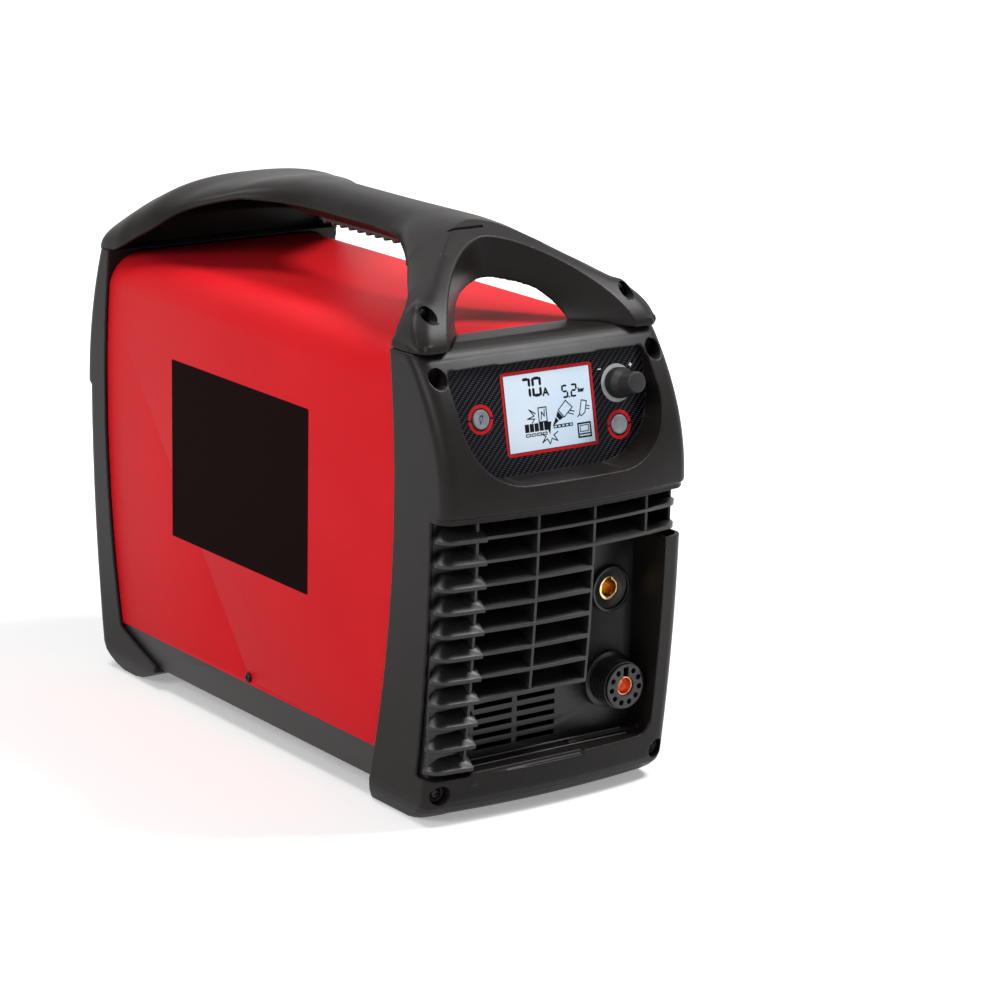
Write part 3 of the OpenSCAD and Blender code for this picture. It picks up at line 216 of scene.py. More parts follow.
def roundedBox(left, foot, right, top, radius, steps=6):
    corners = [(right - radius, foot + radius, 270), (right - radius, top - radius, 0),
               (left + radius, top - radius, 90), (left + radius, foot + radius, 180)]
    line = []
    for cx, cy, start in corners:
        for i in range(steps + 1):
            a = math.radians(start + 90 * i / steps)
            line.append((cx + radius * math.cos(a), cy + radius * math.sin(a)))
    return line


def paint(red, green, blue):
    # a colour as it looks, from 0 to 255, in the renderer's own numbers
    tones = []
    for tone in (red / 255, green / 255, blue / 255):
        tones.append(tone / 12.92 if tone <= 0.04045 else ((tone + 0.055) / 1.055) ** 2.4)
    return (*tones, 1)


finishPlan = {
    "moulding": {"tones": ((20, 18, 17), (27, 24, 23)), "patch": 45, "rough": (0.36, 0.43),
                 "grain": (1500, 0.14, 0.00012), "shine": 0.15},
    "grille": {"tones": ((17, 17, 18), (24, 24, 25)), "patch": 60, "rough": (0.36, 0.44),
               "grain": (1500, 0.22, 0.0001), "shine": 0.42},
    "red_paint": {"tones": ((203, 25, 33), (210, 30, 38)), "patch": 9, "rough": (0.44, 0.5),
                  "grain": (420, 0.04, 0.00005), "shine": 0.06},
    "black_paint": {"tones": ((22, 21, 21), (30, 28, 28)), "patch": 30, "rough": (0.42, 0.52),
                    "grain": (700, 0.1, 0.00008)},
    "display": {"tones": ((196, 218, 238), (222, 234, 246)), "patch": 14, "rough": (0.16, 0.2),
                "grain": (300, 0.01, 0.00002), "coat": 0.1, "glow": 0.12, "shine": 0.2},
    "circuit_board": {"tones": ((20, 78, 44), (28, 98, 56)), "patch": 220, "rough": (0.35, 0.5),
                      "grain": (500, 0.1, 0.0001)},
    "zinc": {"tones": ((62, 63, 65), (90, 91, 93)), "patch": 130, "rough": (0.28, 0.42),
             "grain": (600, 0.08, 0.00005), "metal": 1},
    "steel": {"tones": ((34, 35, 37), (54, 55, 58)), "patch": 200, "rough": (0.25, 0.4),
              "grain": (700, 0.08, 0.00005), "metal": 1},
    "black_plastic": {"tones": ((16, 16, 18), (23, 23, 25)), "patch": 120, "rough": (0.26, 0.34),
                      "grain": (1600, 0.1, 0.00006), "shine": 0.5},
    "knob": {"tones": ((20, 20, 20), (28, 27, 27)), "patch": 160, "rough": (0.45, 0.55),
             "grain": (1900, 0.18, 0.00007), "shine": 0.35},
    "button": {"tones": ((122, 128, 134), (140, 146, 152)), "patch": 180, "rough": (0.35, 0.45),
               "grain": (1500, 0.08, 0.00005)},
    "brass": {"tones": ((246, 202, 128), (254, 224, 164)), "patch": 150, "rough": (0.2, 0.3),
              "grain": (800, 0.05, 0.00004), "metal": 1},
    "copper": {"tones": ((224, 150, 116), (240, 180, 150)), "patch": 150, "rough": (0.2, 0.32),
               "grain": (800, 0.05, 0.00004), "metal": 1},
    "aluminium": {"tones": ((168, 171, 174), (196, 198, 200)), "patch": 90, "rough": (0.3, 0.45),
                  "grain": (500, 0.1, 0.00006), "metal": 1},
    "capacitor": {"tones": ((28, 34, 58), (40, 46, 72)), "patch": 90, "rough": (0.25, 0.35),
                  "grain": (500, 0.05, 0.00004)},
    "ferrite": {"tones": ((52, 52, 56), (68, 68, 72)), "patch": 260, "rough": (0.6, 0.75),
                "grain": (1100, 0.3, 0.0001)},
    "hose": {"tones": ((26, 58, 120), (34, 70, 140)), "patch": 60, "rough": (0.35, 0.45),
             "grain": (900, 0.08, 0.00006)},
    "red_plastic": {"tones": ((166, 30, 28), (184, 38, 34)), "patch": 90, "rough": (0.35, 0.45),
                    "grain": (1200, 0.1, 0.00006)},
}


def newFinish(name):
    finish = bpy.data.materials.new(name)
    finish.use_nodes = True
    tree = finish.node_tree
    return finish, tree, tree.nodes["Principled BSDF"], tree.nodes.new("ShaderNodeTexCoord")


def pressRelief(tree, shader, height, strength, depth):
    bump = tree.nodes.new("ShaderNodeBump")
    bump.inputs["Strength"].default_value = strength
    bump.inputs["Distance"].default_value = depth
    tree.links.new(height, bump.inputs["Height"])
    tree.links.new(bump.outputs["Normal"], shader.inputs["Normal"])


def baseFinish(name, plan):
    finish, tree, shader, where = newFinish(name)
    nodes, links = tree.nodes, tree.links
    patches = nodes.new("ShaderNodeTexNoise")
    patches.inputs["Scale"].default_value = plan["patch"]
    patches.inputs["Detail"].default_value = 5
    links.new(where.outputs["Object"], patches.inputs["Vector"])
    tones = nodes.new("ShaderNodeValToRGB")
    tones.color_ramp.elements[0].position = 0.3
    tones.color_ramp.elements[1].position = 0.7
    tones.color_ramp.elements[0].color = paint(*plan["tones"][0])
    tones.color_ramp.elements[1].color = paint(*plan["tones"][1])
    links.new(patches.outputs["Fac"], tones.inputs["Fac"])
    links.new(tones.outputs["Color"], shader.inputs["Base Color"])
    gloss = nodes.new("ShaderNodeMapRange")
    gloss.inputs["To Min"].default_value, gloss.inputs["To Max"].default_value = plan["rough"]
    links.new(patches.outputs["Fac"], gloss.inputs["Value"])
    links.new(gloss.outputs["Result"], shader.inputs["Roughness"])
    grainScale, grainStrength, grainDepth = plan["grain"]
    grain = nodes.new("ShaderNodeTexNoise")
    grain.inputs["Scale"].default_value = grainScale
    grain.inputs["Detail"].default_value = 2
    links.new(where.outputs["Object"], grain.inputs["Vector"])
    pressRelief(tree, shader, grain.outputs["Fac"], grainStrength, grainDepth)
    shader.inputs["Metallic"].default_value = plan.get("metal", 0)
    shader.inputs["Coat Weight"].default_value = plan.get("coat", 0)
    shader.inputs["Coat Roughness"].default_value = 0.12
    shader.inputs["Specular IOR Level"].default_value = plan.get("shine", 0.5)
    if "glow" in plan:
        links.new(tones.outputs["Color"], shader.inputs["Emission Color"])
        shader.inputs["Emission Strength"].default_value = plan["glow"]
    return finish


def sums(tree, operation, first, second=None):
    # one Math node; a number or a socket on either side
    node = tree.nodes.new("ShaderNodeMath")
    node.operation = operation
    for i, value in enumerate((first, second)):
        if value is None:
            continue
        if isinstance(value, (int, float)):
            node.inputs[i].default_value = value
        else:
            tree.links.new(value, node.inputs[i])
    return node.outputs[0]


panelPlan = {"y": -224, "z": 299, "tilt": 12}
panelPlace = (Matrix.Translation((0, panelPlan["y"] * mm, panelPlan["z"] * mm))
              @ Matrix.Rotation(math.radians(90 - panelPlan["tilt"]), 4, "X"))

weavePlan = {"cell": 1.32, "dark": (5, 5, 9), "pale": (84, 85, 94), "thread": (20, 20, 27)}


def weaveFinish(plan):
    # printed twill: short pale threads in diagonal rows over black
    finish, tree, shader, where = newFinish("overlay")
    nodes, links = tree.nodes, tree.links
    turn = nodes.new("ShaderNodeMapping")
    turn.inputs["Rotation"].default_value = (-math.radians(90 - panelPlan["tilt"]), 0, 0)
    links.new(where.outputs["Object"], turn.inputs["Vector"])
    parts = nodes.new("ShaderNodeSeparateXYZ")
    links.new(turn.outputs["Vector"], parts.inputs["Vector"])
    across = sums(tree, "DIVIDE", parts.outputs["X"], plan["cell"] * mm)
    along = sums(tree, "DIVIDE", parts.outputs["Y"], plan["cell"] * mm)
    step = sums(tree, "SUBTRACT", sums(tree, "FLOOR", across), sums(tree, "FLOOR", along))
    row = sums(tree, "FLOORED_MODULO", step, 4)
    onTop = sums(tree, "LESS_THAN", row, 1.5)
    belly = sums(tree, "SINE", sums(tree, "MULTIPLY", sums(tree, "FRACT", along), math.pi))
    fibre = sums(tree, "SINE", sums(tree, "MULTIPLY", sums(tree, "FRACT", across), math.pi))
    amount = sums(tree, "MULTIPLY", sums(tree, "MULTIPLY", onTop, belly), sums(tree, "POWER", fibre, 0.6))
    ramp = nodes.new("ShaderNodeValToRGB")
    ramp.color_ramp.elements[0].color = paint(*plan["dark"])
    ramp.color_ramp.elements[1].color = paint(*plan["pale"])
    middle = ramp.color_ramp.elements.new(0.45)
    middle.color = paint(*plan["thread"])
    links.new(amount, ramp.inputs["Fac"])
    links.new(ramp.outputs["Color"], shader.inputs["Base Color"])
    pressRelief(tree, shader, amount, 0.15, 0.00005)
    shader.inputs["Roughness"].default_value = 0.34
    shader.inputs["Specular IOR Level"].default_value = 0.08
    return finish


# dark and pale here are the painted shade in the grooves and the painted highlight on the crowns of the turns
windingPlan = {"pitch": 1.3, "dark": (96, 44, 18), "pale": (196, 104, 50)}


def windingFinish(plan):
    # enamelled wire, laid turn by turn; the colour is darker in the grooves and paler on each turn's crown, a
    # painted shade and highlight
    finish, tree, shader, where = newFinish("winding")
    nodes, links = tree.nodes, tree.links
    wave = nodes.new("ShaderNodeTexWave")
    wave.bands_direction = "Z"
    wave.inputs["Scale"].default_value = 1 / (plan["pitch"] * mm) / 3.14
    wave.inputs["Distortion"].default_value = 0.6
    links.new(where.outputs["Object"], wave.inputs["Vector"])
    # painted shade in the grooves and painted highlight on the crowns, following the same waves as the relief
    ramp = nodes.new("ShaderNodeValToRGB")
    ramp.color_ramp.elements[0].color = paint(*plan["dark"])
    ramp.color_ramp.elements[1].color = paint(*plan["pale"])
    links.new(wave.outputs["Fac"], ramp.inputs["Fac"])
    links.new(ramp.outputs["Color"], shader.inputs["Base Color"])
    pressRelief(tree, shader, wave.outputs["Fac"], 0.6, 0.0004)
    shader.inputs["Metallic"].default_value = 0.6
    shader.inputs["Roughness"].default_value = 0.35
    return finish


finishes = {name: baseFinish(name, plan) for name, plan in finishPlan.items()}
finishes["overlay"] = weaveFinish(weavePlan)
finishes["winding"] = windingFinish(windingPlan)
for name, tones, rough, shine in (("printRed", ((200, 30, 34), (210, 38, 42)), (0.35, 0.42), 0.08),
                                  ("printGrey", ((176, 179, 182), (190, 192, 195)), (0.4, 0.5), 0.08),
                                  ("printWhite", ((228, 228, 228), (240, 240, 240)), (0.4, 0.5), 0.08),
                                  ("printBlack", ((17, 5, 5), (21, 7, 7)), (0.5, 0.56), 0.01),
                                  ("segment", ((14, 18, 22), (20, 24, 28)), (0.3, 0.4), 0.08)):
    finishes[name] = baseFinish(name, {"tones": tones, "patch": 120, "rough": rough,
                                       "grain": (1200, 0.03, 0.00003), "shine": shine})
print("finishes made:", len(finishes))

for part in frame["record"]["subparts"]:
    node = frame["nodes"][part["node"]]
    node.data.materials.clear()
    node.data.materials.append(finishes[part["material_slot"]])


def over(wide, foot, top, power, sides):
    # half a superellipse over a foot line, from left to right
    a = np.radians(180 - 180 * np.arange(sides + 1) / sides)
    reach = (np.abs(np.cos(a)) ** power + np.abs(np.sin(a)) ** power) ** (-1 / power)
    return np.stack([wide * np.cos(a) * reach, foot + (top - foot) * np.sin(a) * reach], 1)


def smoothRows(rows, step):
    # rows of numbers along the first one, with rows on a smooth curve added between them
    table = np.array(rows, float)
    place, values = table[:, 0], table[:, 1:]
    gaps = np.diff(place)[:, None]
    rises = np.diff(values, axis=0) / gaps
    slopes = np.zeros_like(values)
    before, after = rises[:-1], rises[1:]
    steady = before * after > 0
    inner = np.zeros_like(before)
    inner[steady] = 2 * before[steady] * after[steady] / (before[steady] + after[steady])
    slopes[1:-1] = inner
    fine = []
    for i, gap in enumerate(gaps[:, 0]):
        parts = max(1, round(gap / step))
        for t in np.arange(parts) / parts:
            row = ((2 * t ** 3 - 3 * t ** 2 + 1) * values[i] + (t ** 3 - 2 * t ** 2 + t) * gap * slopes[i]
                   + (3 * t ** 2 - 2 * t ** 3) * values[i + 1] + (t ** 3 - t ** 2) * gap * slopes[i + 1])
            fine.append([place[i] + gap * t, *row])
    fine.append([place[-1], *values[-1]])
    return fine


def skinOver(name, rings, arched):
    # a closed skin over rings of as many points, in mm; arched rings run out along the top and back below
    count, last = len(rings[0]), (len(rings) - 1) * len(rings[0])
    points = [tuple(float(v) * mm for v in point) for ring in rings for point in ring]
    faces = [(k + i, k + count + i, k + count + (i + 1) % count, k + (i + 1) % count)
             for k in range(0, last, count) for i in range(count)]
    for end in (0, last):
        if arched:
            faces += [(end + i, end + i + 1, end + count - 2 - i, end + count - 1 - i)
                      for i in range(count // 2 - 1)]
        else:
            faces.append(tuple(range(end, end + count)))
    piece = fromPoints(name, points, faces)
    bpy.ops.mesh.remove_doubles(threshold=0.000001)
    bpy.ops.mesh.normals_make_consistent(inside=False)
    bpy.ops.object.mode_set(mode="OBJECT")
    return piece


def rodAlongY(name, x, z, radius, start, end, sides=48):
    clearSelection()
    bpy.ops.mesh.primitive_cylinder_add(vertices=sides, radius=radius * mm, depth=(end - start) * mm)
    rod = bpy.context.object
    rod.name = name
    turn = Matrix.Rotation(math.radians(90), 4, "X")
    return settle(rod, Matrix.Translation((x * mm, (start + end) / 2 * mm, z * mm)) @ turn)


def boxBetween(name, low, high):
    clearSelection()
    bpy.ops.mesh.primitive_cube_add(size=1)
    box = bpy.context.object
    box.name = name
    middle = [(a + b) / 2 * mm for a, b in zip(low, high)]
    size = [(b - a) * mm for a, b in zip(low, high)]
    return settle(box, Matrix.Translation(middle) @ Matrix.Diagonal((*size, 1)))


def cutWith(piece, cutter, how="DIFFERENCE"):
    pickUp(piece)
    cut = piece.modifiers.new("cut", "BOOLEAN")
    cut.operation = how
    cut.solver = "MANIFOLD"
    cut.object = cutter
    bpy.ops.object.modifier_apply(modifier=cut.name)
    bpy.data.objects.remove(cutter)
    return piece


def readPoints(piece):
    count = len(piece.data.vertices)
    points, normals = np.empty(count * 3), np.empty(count * 3)
    piece.data.vertices.foreach_get("co", points)
    piece.data.vertices.foreach_get("normal", normals)
    return points.reshape(-1, 3) / mm, normals.reshape(-1, 3)


def writePoints(piece, points):
    piece.data.vertices.foreach_set("co", (points * mm).ravel())
    piece.data.update()


def softSkin(piece, voxel, turns):
    skin = piece.modifiers.new("skin", "REMESH")
    skin.mode = "VOXEL"
    skin.voxel_size = voxel * mm
    skin.use_smooth_shade = True
    soft = piece.modifiers.new("soft", "SMOOTH")
    soft.factor = 0.5
    soft.iterations = turns
    return applyAll(piece)


def softenWhere(piece, chosen, turns):
    # rounds off only the chosen points
    group = piece.vertex_groups.new(name="rims")
    group.add([int(i) for i in np.nonzero(chosen)[0]], 1.0, "REPLACE")
    soft = piece.modifiers.new("rims", "SMOOTH")
    soft.factor = 0.5
    soft.iterations = turns
    soft.vertex_group = group.name
    applyAll(piece)
    piece.vertex_groups.clear()
    print(piece.name, "softened at", int(chosen.sum()), "points")


def thinOut(piece, limit=185000):
    count = triangleCount(piece)
    if count > limit:
        fewer = piece.modifiers.new("fewer", "DECIMATE")
        fewer.ratio = limit / count
        applyAll(piece)
    print(piece.name, count, "->", triangleCount(piece), "triangles")
    return piece


# the mouldings are their solids' own meshes with the soft edges of moulded plastic; the front one is pressed
# to the true curve

mouldPlan = {"front": -265, "lip": 237, "seat": 352, "half": 110, "corner": 12, "lean": 57, "lipStep": 3.5,
             "lowerLean": 20, "bow": 9, "voxel": 0.85, "turns": 3, "reach": 0.5,
             "pocket": (90, 256, 336.5), "pocketCorner": 48, "sill": 37, "rimTurns": 10,
             "recess": (97, 333, 7.2), "recessWall": 1.6, "recessFoot": -212,
             "sillFill": (-76, 30, 30, 40, -215), "ribs": ((-233, 40.5), (-225.4, 42.6)),
             "ribSpan": (-74, 74), "ribRadius": 0.9}


def frontShape(z, plan):
    # middle of the front and its bulge, at each height
    lip, seat = plan["lip"], plan["seat"]
    over = np.clip((z - lip) / (seat - lip), 0, 1)
    under = np.clip((lip - z) / lip, 0, 1)
    middle = plan["front"] + np.where(z > lip, plan["lean"] * over ** 2,
                                      plan["lipStep"] + plan["lowerLean"] * under ** 2)
    bow = np.where(z > lip, plan["bow"] * (1 - over ** 1.5), plan["bow"] * (1 - 0.25 * under))
    return middle, bow


def pressFront(piece, plan):
    points, normals = readPoints(piece)
    x, y, z = points.T
    middle, bow = frontShape(z, plan)
    corner = plan["corner"]
    flat = plan["half"] - corner
    slope = np.arctan(2 * bow / flat)
    edge = flat + corner * np.sin(slope)
    holds = (z > 22) & (z < plan["seat"] - 9) & (np.abs(z - plan["lip"]) > 2.5)
    depth = middle + bow * (x / edge) ** 2
    near = holds & (np.abs(x) < edge - 0.3) & (np.abs(y - depth) < plan["reach"]) & (normals[:, 1] < -0.7)
    points[near, 1] = depth[near]
    # the upright corners, round about their own centres
    centreY = middle + bow + corner * np.cos(slope)
    outX, outY = np.abs(x) - flat, y - centreY
    far = np.hypot(outX, outY)
    turn = holds & (np.abs(x) >= edge - 0.3) & (outY < 0) & (np.abs(far - corner) < plan["reach"])
    turn &= (normals[:, 0] * np.sign(x) * outX + normals[:, 1] * outY) > 0.7 * far
    points[turn, 0] = np.sign(x[turn]) * (flat + outX[turn] * corner / far[turn])
    points[turn, 1] = centreY[turn] + outY[turn] * corner / far[turn]
    # the round lower corners of the control pocket
    half, foot, _ = plan["pocket"]
    radius = plan["pocketCorner"]
    acrossX, acrossZ = np.abs(x) - (half - radius), z - (foot + radius)
    far = np.hypot(acrossX, acrossZ)
    wall = (acrossX > 0) & (acrossZ < 0) & (np.abs(far - radius) < 0.8) & (np.abs(normals[:, 1]) < 0.5)
    wall &= (y < plan["front"] + 50) & (y > middle + 2)
    points[wall, 0] = np.sign(x[wall]) * (half - radius + acrossX[wall] * radius / far[wall])
    points[wall, 2] = foot + radius + acrossZ[wall] * radius / far[wall]
    writePoints(piece, points)
    print("pressed", int(near.sum()), int(turn.sum()), int(wall.sum()), "of", len(points), "points")


def recessFiller(x, z, radius, plan):
    # a plug under the curved front, so that the wall round a screw recess is never thinner than the skin
    turns = np.linspace(0, 2 * math.pi, 48, False)
    across, up = x + radius * np.cos(turns), z + radius * np.sin(turns)
    middle, bow = frontShape(up, plan)
    flat = plan["half"] - plan["corner"]
    ahead = middle + bow * (across / flat) ** 2 + np.maximum(0, np.abs(across) - flat) ** 2 / 16 + 0.5
    front = np.stack([across, ahead, up], 1)
    back = np.stack([across, np.full_like(across, plan["recessFoot"] + 2), up], 1)
    return skinOver("filler", [front, back], False)


def frontRims(piece, plan):
    # the rim of the control pocket, the lip of the fascia and the edge of the sill are rounder than the rest
    points, _ = readPoints(piece)
    x, y, z = points.T
    middle, bow = frontShape(z, plan)
    depth = middle + bow * (x / plan["half"]) ** 2
    half, foot, top = plan["pocket"]
    radius = plan["pocketCorner"]
    low = z < foot + radius
    round_ = np.where(low, radius, 7)
    overX, overZ = np.abs(x) - (half - round_), np.where(low, foot + round_ - z, z - top + round_)
    away = np.hypot(np.maximum(overX, 0), np.maximum(overZ, 0))
    away += np.minimum(np.maximum(overX, overZ), 0) - round_
    rim = (np.abs(away) < 3.2) & (np.abs(y - depth) < 3.5)
    lip = (np.abs(z - plan["lip"]) < 3) & (np.abs(y - depth) < 5) & (z > plan["lip"] - 4)
    sill = (np.abs(z - plan["sill"] - 1) < 5) & (y < depth + 7) & (np.abs(x) < plan["half"] - 4)
    return rim | lip | sill


def makeFront(plan):
    front = copyNode("front_bezel", "frontMoulding")
    recessX, recessZ, radius = plan["recess"]
    for side in (-1, 1):
        cutWith(front, recessFiller(side * recessX, recessZ, radius + plan["recessWall"], plan), "UNION")
    # the sill runs on at one level under the louvres, with two low ribs along it
    start, end, low, high, back = plan["sillFill"]
    cutWith(front, boxBetween("sillFill", (start, plan["front"] + 21.5, low), (end, back, high)), "UNION")
    softSkin(front, plan["voxel"], plan["turns"])
    pressFront(front, plan)
    softenWhere(front, frontRims(front, plan), plan["rimTurns"])
    thinOut(front)
    for side in (-1, 1):
        cutWith(front, rodAlongY("recess", side * recessX, recessZ, radius, -300, plan["recessFoot"]))
    smoothByAngle(front, 50)
    fitOut(front, "moulding", replaced=["front_bezel"])


def makeSillRibs(plan):
    ribs = []
    for depth, tall in plan["ribs"]:
        clearSelection()
        left, right = plan["ribSpan"]
        bpy.ops.mesh.primitive_cylinder_add(vertices=24, radius=plan["ribRadius"] * mm,
                                            depth=(right - left) * mm)
        rib = bpy.context.object
        turn = Matrix.Rotation(math.radians(90), 4, "Y")
        ribs.append(settle(rib, Matrix.Translation(((left + right) / 2 * mm, depth * mm, tall * mm)) @ turn))
    rib = joinUp(ribs, "sillRibs")
    smoothByAngle(rib, 40)
    fitOut(rib, "grille")


makeFront(mouldPlan)
makeSillRibs(mouldPlan)

rearPlan = {"voxel": 1.0, "turns": 4, "limit": 150000}


def makeRear(plan):
    rear = copyNode("rear_bezel", "rearMoulding")
    softSkin(rear, plan["voxel"], plan["turns"])
    thinOut(rear, plan["limit"])
    fitOut(rear, "moulding", replaced=["rear_bezel"])


makeRear(rearPlan)
print("end mouldings made")


# sections across the handle, front to back: depth, half-width, side edge, crown, power of the shoulder,
# and half-width and height inside
handlePlan = {
    "rows": [
        (-222, 96, 349, 418, 1.45, 40, 352), (-216, 103, 349, 419, 1.45, 40, 352),
        (-208, 107.5, 349, 420, 1.45, 40, 352), (-198, 109, 349, 420, 1.45, 40, 352),
        (-178, 109, 349, 420, 1.4, 40, 352), (-176, 100, 372, 420, 1.1, 40, 374),
        (-168, 90, 381, 420.5, 1.12, 40, 383), (-153, 79, 384.5, 422, 1.25, 40, 386.5),
        (-136, 67, 389, 422.5, 1.45, 36, 390.5), (-119, 55, 396, 423, 1.7, 40, 392),
        (-95, 42, 401, 423.5, 2.1, 38, 396), (-75, 32.5, 403, 424, 2.3, 29, 397),
        (-53, 28, 404, 424, 2.5, 25, 397), (-20.1, 26, 405, 424, 2.5, 24.5, 397),
        (20.6, 26, 405, 424, 2.5, 24.5, 397), (50, 26.5, 405, 424, 2.5, 25, 397),
        (71, 30, 405, 423.5, 2.5, 27, 398), (87, 35, 405, 423.2, 2.5, 30.5, 403),
        (99, 41, 405, 422.5, 2.3, 36.5, 415.5), (113, 51, 405, 420.8, 2.2, 46.5, 415.5),
        (131, 70, 400.5, 418, 2, 65.5, 413), (151, 86, 392, 416.5, 2, 81.5, 411.5),
        (175, 98, 376, 415.5, 2.4, 93.5, 410.5), (197, 104, 364, 406, 2.6, 99.5, 401.5),
        (213, 107.5, 355, 396.5, 2.7, 103, 392), (227, 108, 350.6, 387, 2.8, 103.5, 382),
        (235, 107.7, 350.4, 380.5, 2.8, 103, 373), (237, 107.5, 350.4, 378.5, 2.8, 102.5, 351),
        (241.5, 106, 350.4, 371, 2.8, 101.6, 351), (243, 103.5, 350.4, 362, 2.8, 98.6, 350.8)],
    "step": 3, "sides": 64, "ceiling": 2.6, "hoodStart": 65, "swell": 0.1, "swellRise": 52,
    "seat": 352, "roof": 349, "crown": 424, "leg": 109, "foot": -217,
    "rimHeight": 61, "back": -178, "arch": 100, "archHeight": 36,
    "screw": (89, 373.5), "screwSeat": 11, "recess": 5.8, "boss": 8, "bossFront": 5,
    "rimIn": 24, "rimPower": 1.6, "nearRim": 0.93, "archPower": 1.65,
    "lean": (1.25, 1.4), "edgeRun": 1.27, "rear": (48, 39, 6), "brow": (3, 7, 1.5),
    "rimKeep": 4, "legFoot": 3, "legTop": 54, "legEnd": -125, "legTurns": 110,
    "under": 329, "ahead": -325, "hollowFront": -290, "hollowBack": -104,
    "insert": (34, -54, 55, 389, 401), "slot": (-32, 6, -132, 2.6, 417, 440),
    "voxel": 0.95, "turns": 5, "rimTurns": 14}


def leanDepth(z, plan):
    up = np.maximum(0, z - plan["seat"])
    run, power = plan["lean"]
    return plan["foot"] + run * plan["rimHeight"] * (up / plan["rimHeight"]) ** power


def edgeDepth(z, plan):
    return plan["back"] - 1 + plan["edgeRun"] * np.maximum(0, z - plan["seat"])


def rearDepth(z, plan):
    run, rise, power = plan["rear"]
    return plan["back"] - 0.6 + run * (np.maximum(0, z - plan["seat"]) / rise) ** power


def archLine(wide, top, power, depth, plan):
    line = over(wide, plan["roof"], top, power, plan["sides"])
    return np.stack([line[:, 0], depth(line[:, 1], plan), line[:, 1]], 1)


def belowSeat(line, under, depth=None):
    # closes an arched line by two points under the seat
    line = np.array(line)
    if depth is not None:
        line[:, 1] = depth
    ends = line[[-1, 0]].copy()
    ends[:, 2] = under
    return np.concatenate([line, ends])


def makeHandle(plan):
    rings = []
    for y, wide, side, crown, power, innerWide, innerTop in smoothRows(plan["rows"], plan["step"]):
        outer = over(wide, side, crown, power, plan["sides"])
        ceiling = min(plan["ceiling"], power) if y > plan["hoodStart"] else plan["ceiling"]
        inner = over(innerWide, side, innerTop, ceiling, plan["sides"])[::-1]
        rings.append([(x, y, z) for x, z in np.concatenate([outer, inner])])
    handle = skinOver("carryHandle", rings, True)
    seat, leg, height = plan["seat"], plan["leg"], plan["rimHeight"]
    rimWide, rimPower = leg - plan["rimIn"], plan["rimPower"]
    rim = archLine(rimWide, seat + height, rimPower, leanDepth, plan)
    nearRim = archLine(plan["nearRim"] * rimWide, seat + plan["nearRim"] * height, rimPower, leanDepth, plan)
    archWide, archRise, archPower = plan["arch"] / 2, plan["archHeight"] - 4, plan["archPower"]
    archTop = plan["roof"] + archRise
    edge = archLine(archWide, archTop, archPower, edgeDepth, plan)
    nearEdge = archLine(0.9 * archWide, plan["roof"] + 0.9 * archRise, archPower, edgeDepth, plan)
    inset, drop, power = plan["brow"]
    brow = archLine(leg - inset, plan["crown"] - drop, power, lambda z, p: leanDepth(z, p) + 4, plan)
    # the legs are fuller near the screws
    swell = np.sin(math.pi * np.clip((brow[:, 2] - plan["roof"]) / plan["swellRise"], 0, 1))
    brow[:, 0] *= 1 + plan["swell"] * swell
    back = archLine(leg - 2, seat + plan["rear"][1], 2.6, rearDepth, plan)
    ends = [np.concatenate([brow, nearRim[::-1]]), np.concatenate([back, nearEdge[::-1]])]
    walls = skinOver("legWalls", ends, True)
    cutWith(handle, walls, "UNION")
    screwX, screwZ = plan["screw"]
    screwDepth = leanDepth(np.float64(screwZ), plan) + plan["screwSeat"]
    for side in (-1, 1):
        boss = rodAlongY("boss", side * screwX, screwZ, plan["boss"], screwDepth - plan["bossFront"],
                         screwDepth + 6)
        cutWith(handle, boss, "UNION")
    steps, under, ahead = 8, plan["under"], plan["ahead"]
    hollow = [belowSeat(rim, under, plan["hollowFront"])]
    hollow += [belowSeat(rim + (edge - rim) * k / steps, under) for k in range(steps + 1)]
    hollow.append(belowSeat(edge, under, plan["hollowBack"]))
    cutWith(handle, skinOver("legHollow", hollow, False))
    heights = seat + np.arange(25) * (plan["crown"] - seat + 6) / 24
    lean = [(ahead, under), (plan["foot"], under)]
    lean += [(leanDepth(z, plan), z) for z in heights] + [(ahead, plan["crown"] + 6)]
    sides = [[(x, y, z) for y, z in lean] for x in (-2 * leg - 2, 2 * leg + 2)]
    cutWith(handle, skinOver("aheadOfLegs", sides, False))
    wide, start, end, bedFoot, bedTop = plan["insert"]
    cutWith(handle, boxBetween("insertBed", (-wide / 2, start, bedFoot), (wide / 2, end, bedTop)))
    softSkin(handle, plan["voxel"], plan["turns"])
    points, _ = readPoints(handle)
    x, y, z = points.T
    behind = (np.abs(y - rearDepth(z, plan)) < 3.5) & (z < seat + 40) & (y < -118)
    behind |= (np.abs(y - edgeDepth(z, plan)) < 6) & (np.abs(x) < archWide + 6) & (z < archTop + 9)
    softenWhere(handle, behind, plan["rimTurns"])
    # the outer side of the legs flows round the screws in one sweep
    points, _ = readPoints(handle)
    x, y, z = points.T
    up = np.clip((z - plan["roof"]) / (height + seat - plan["roof"]), 0, 1)
    rimHalf = rimWide * (1 - up ** rimPower) ** (1 / rimPower)
    legSide = (np.abs(x) > rimHalf + plan["rimKeep"]) & (y < plan["legEnd"])
    legSide &= (z > seat + plan["legFoot"]) & (z < seat + plan["legTop"])
    softenWhere(handle, legSide, plan["legTurns"])
    thinOut(handle)
    left, right, front, deep, low, high = plan["slot"]
    cutWith(handle, boxBetween("seam", (left, front, low), (right, front + deep, high)))
    for side in (-1, 1):
        cutWith(handle, rodAlongY("recess", side * screwX, screwZ, plan["recess"], -300, screwDepth))
    smoothByAngle(handle, 50)
    fitOut(handle, "moulding", replaced=["handle"])


makeHandle(handlePlan)
print("handle made")


# small parts with eased edges

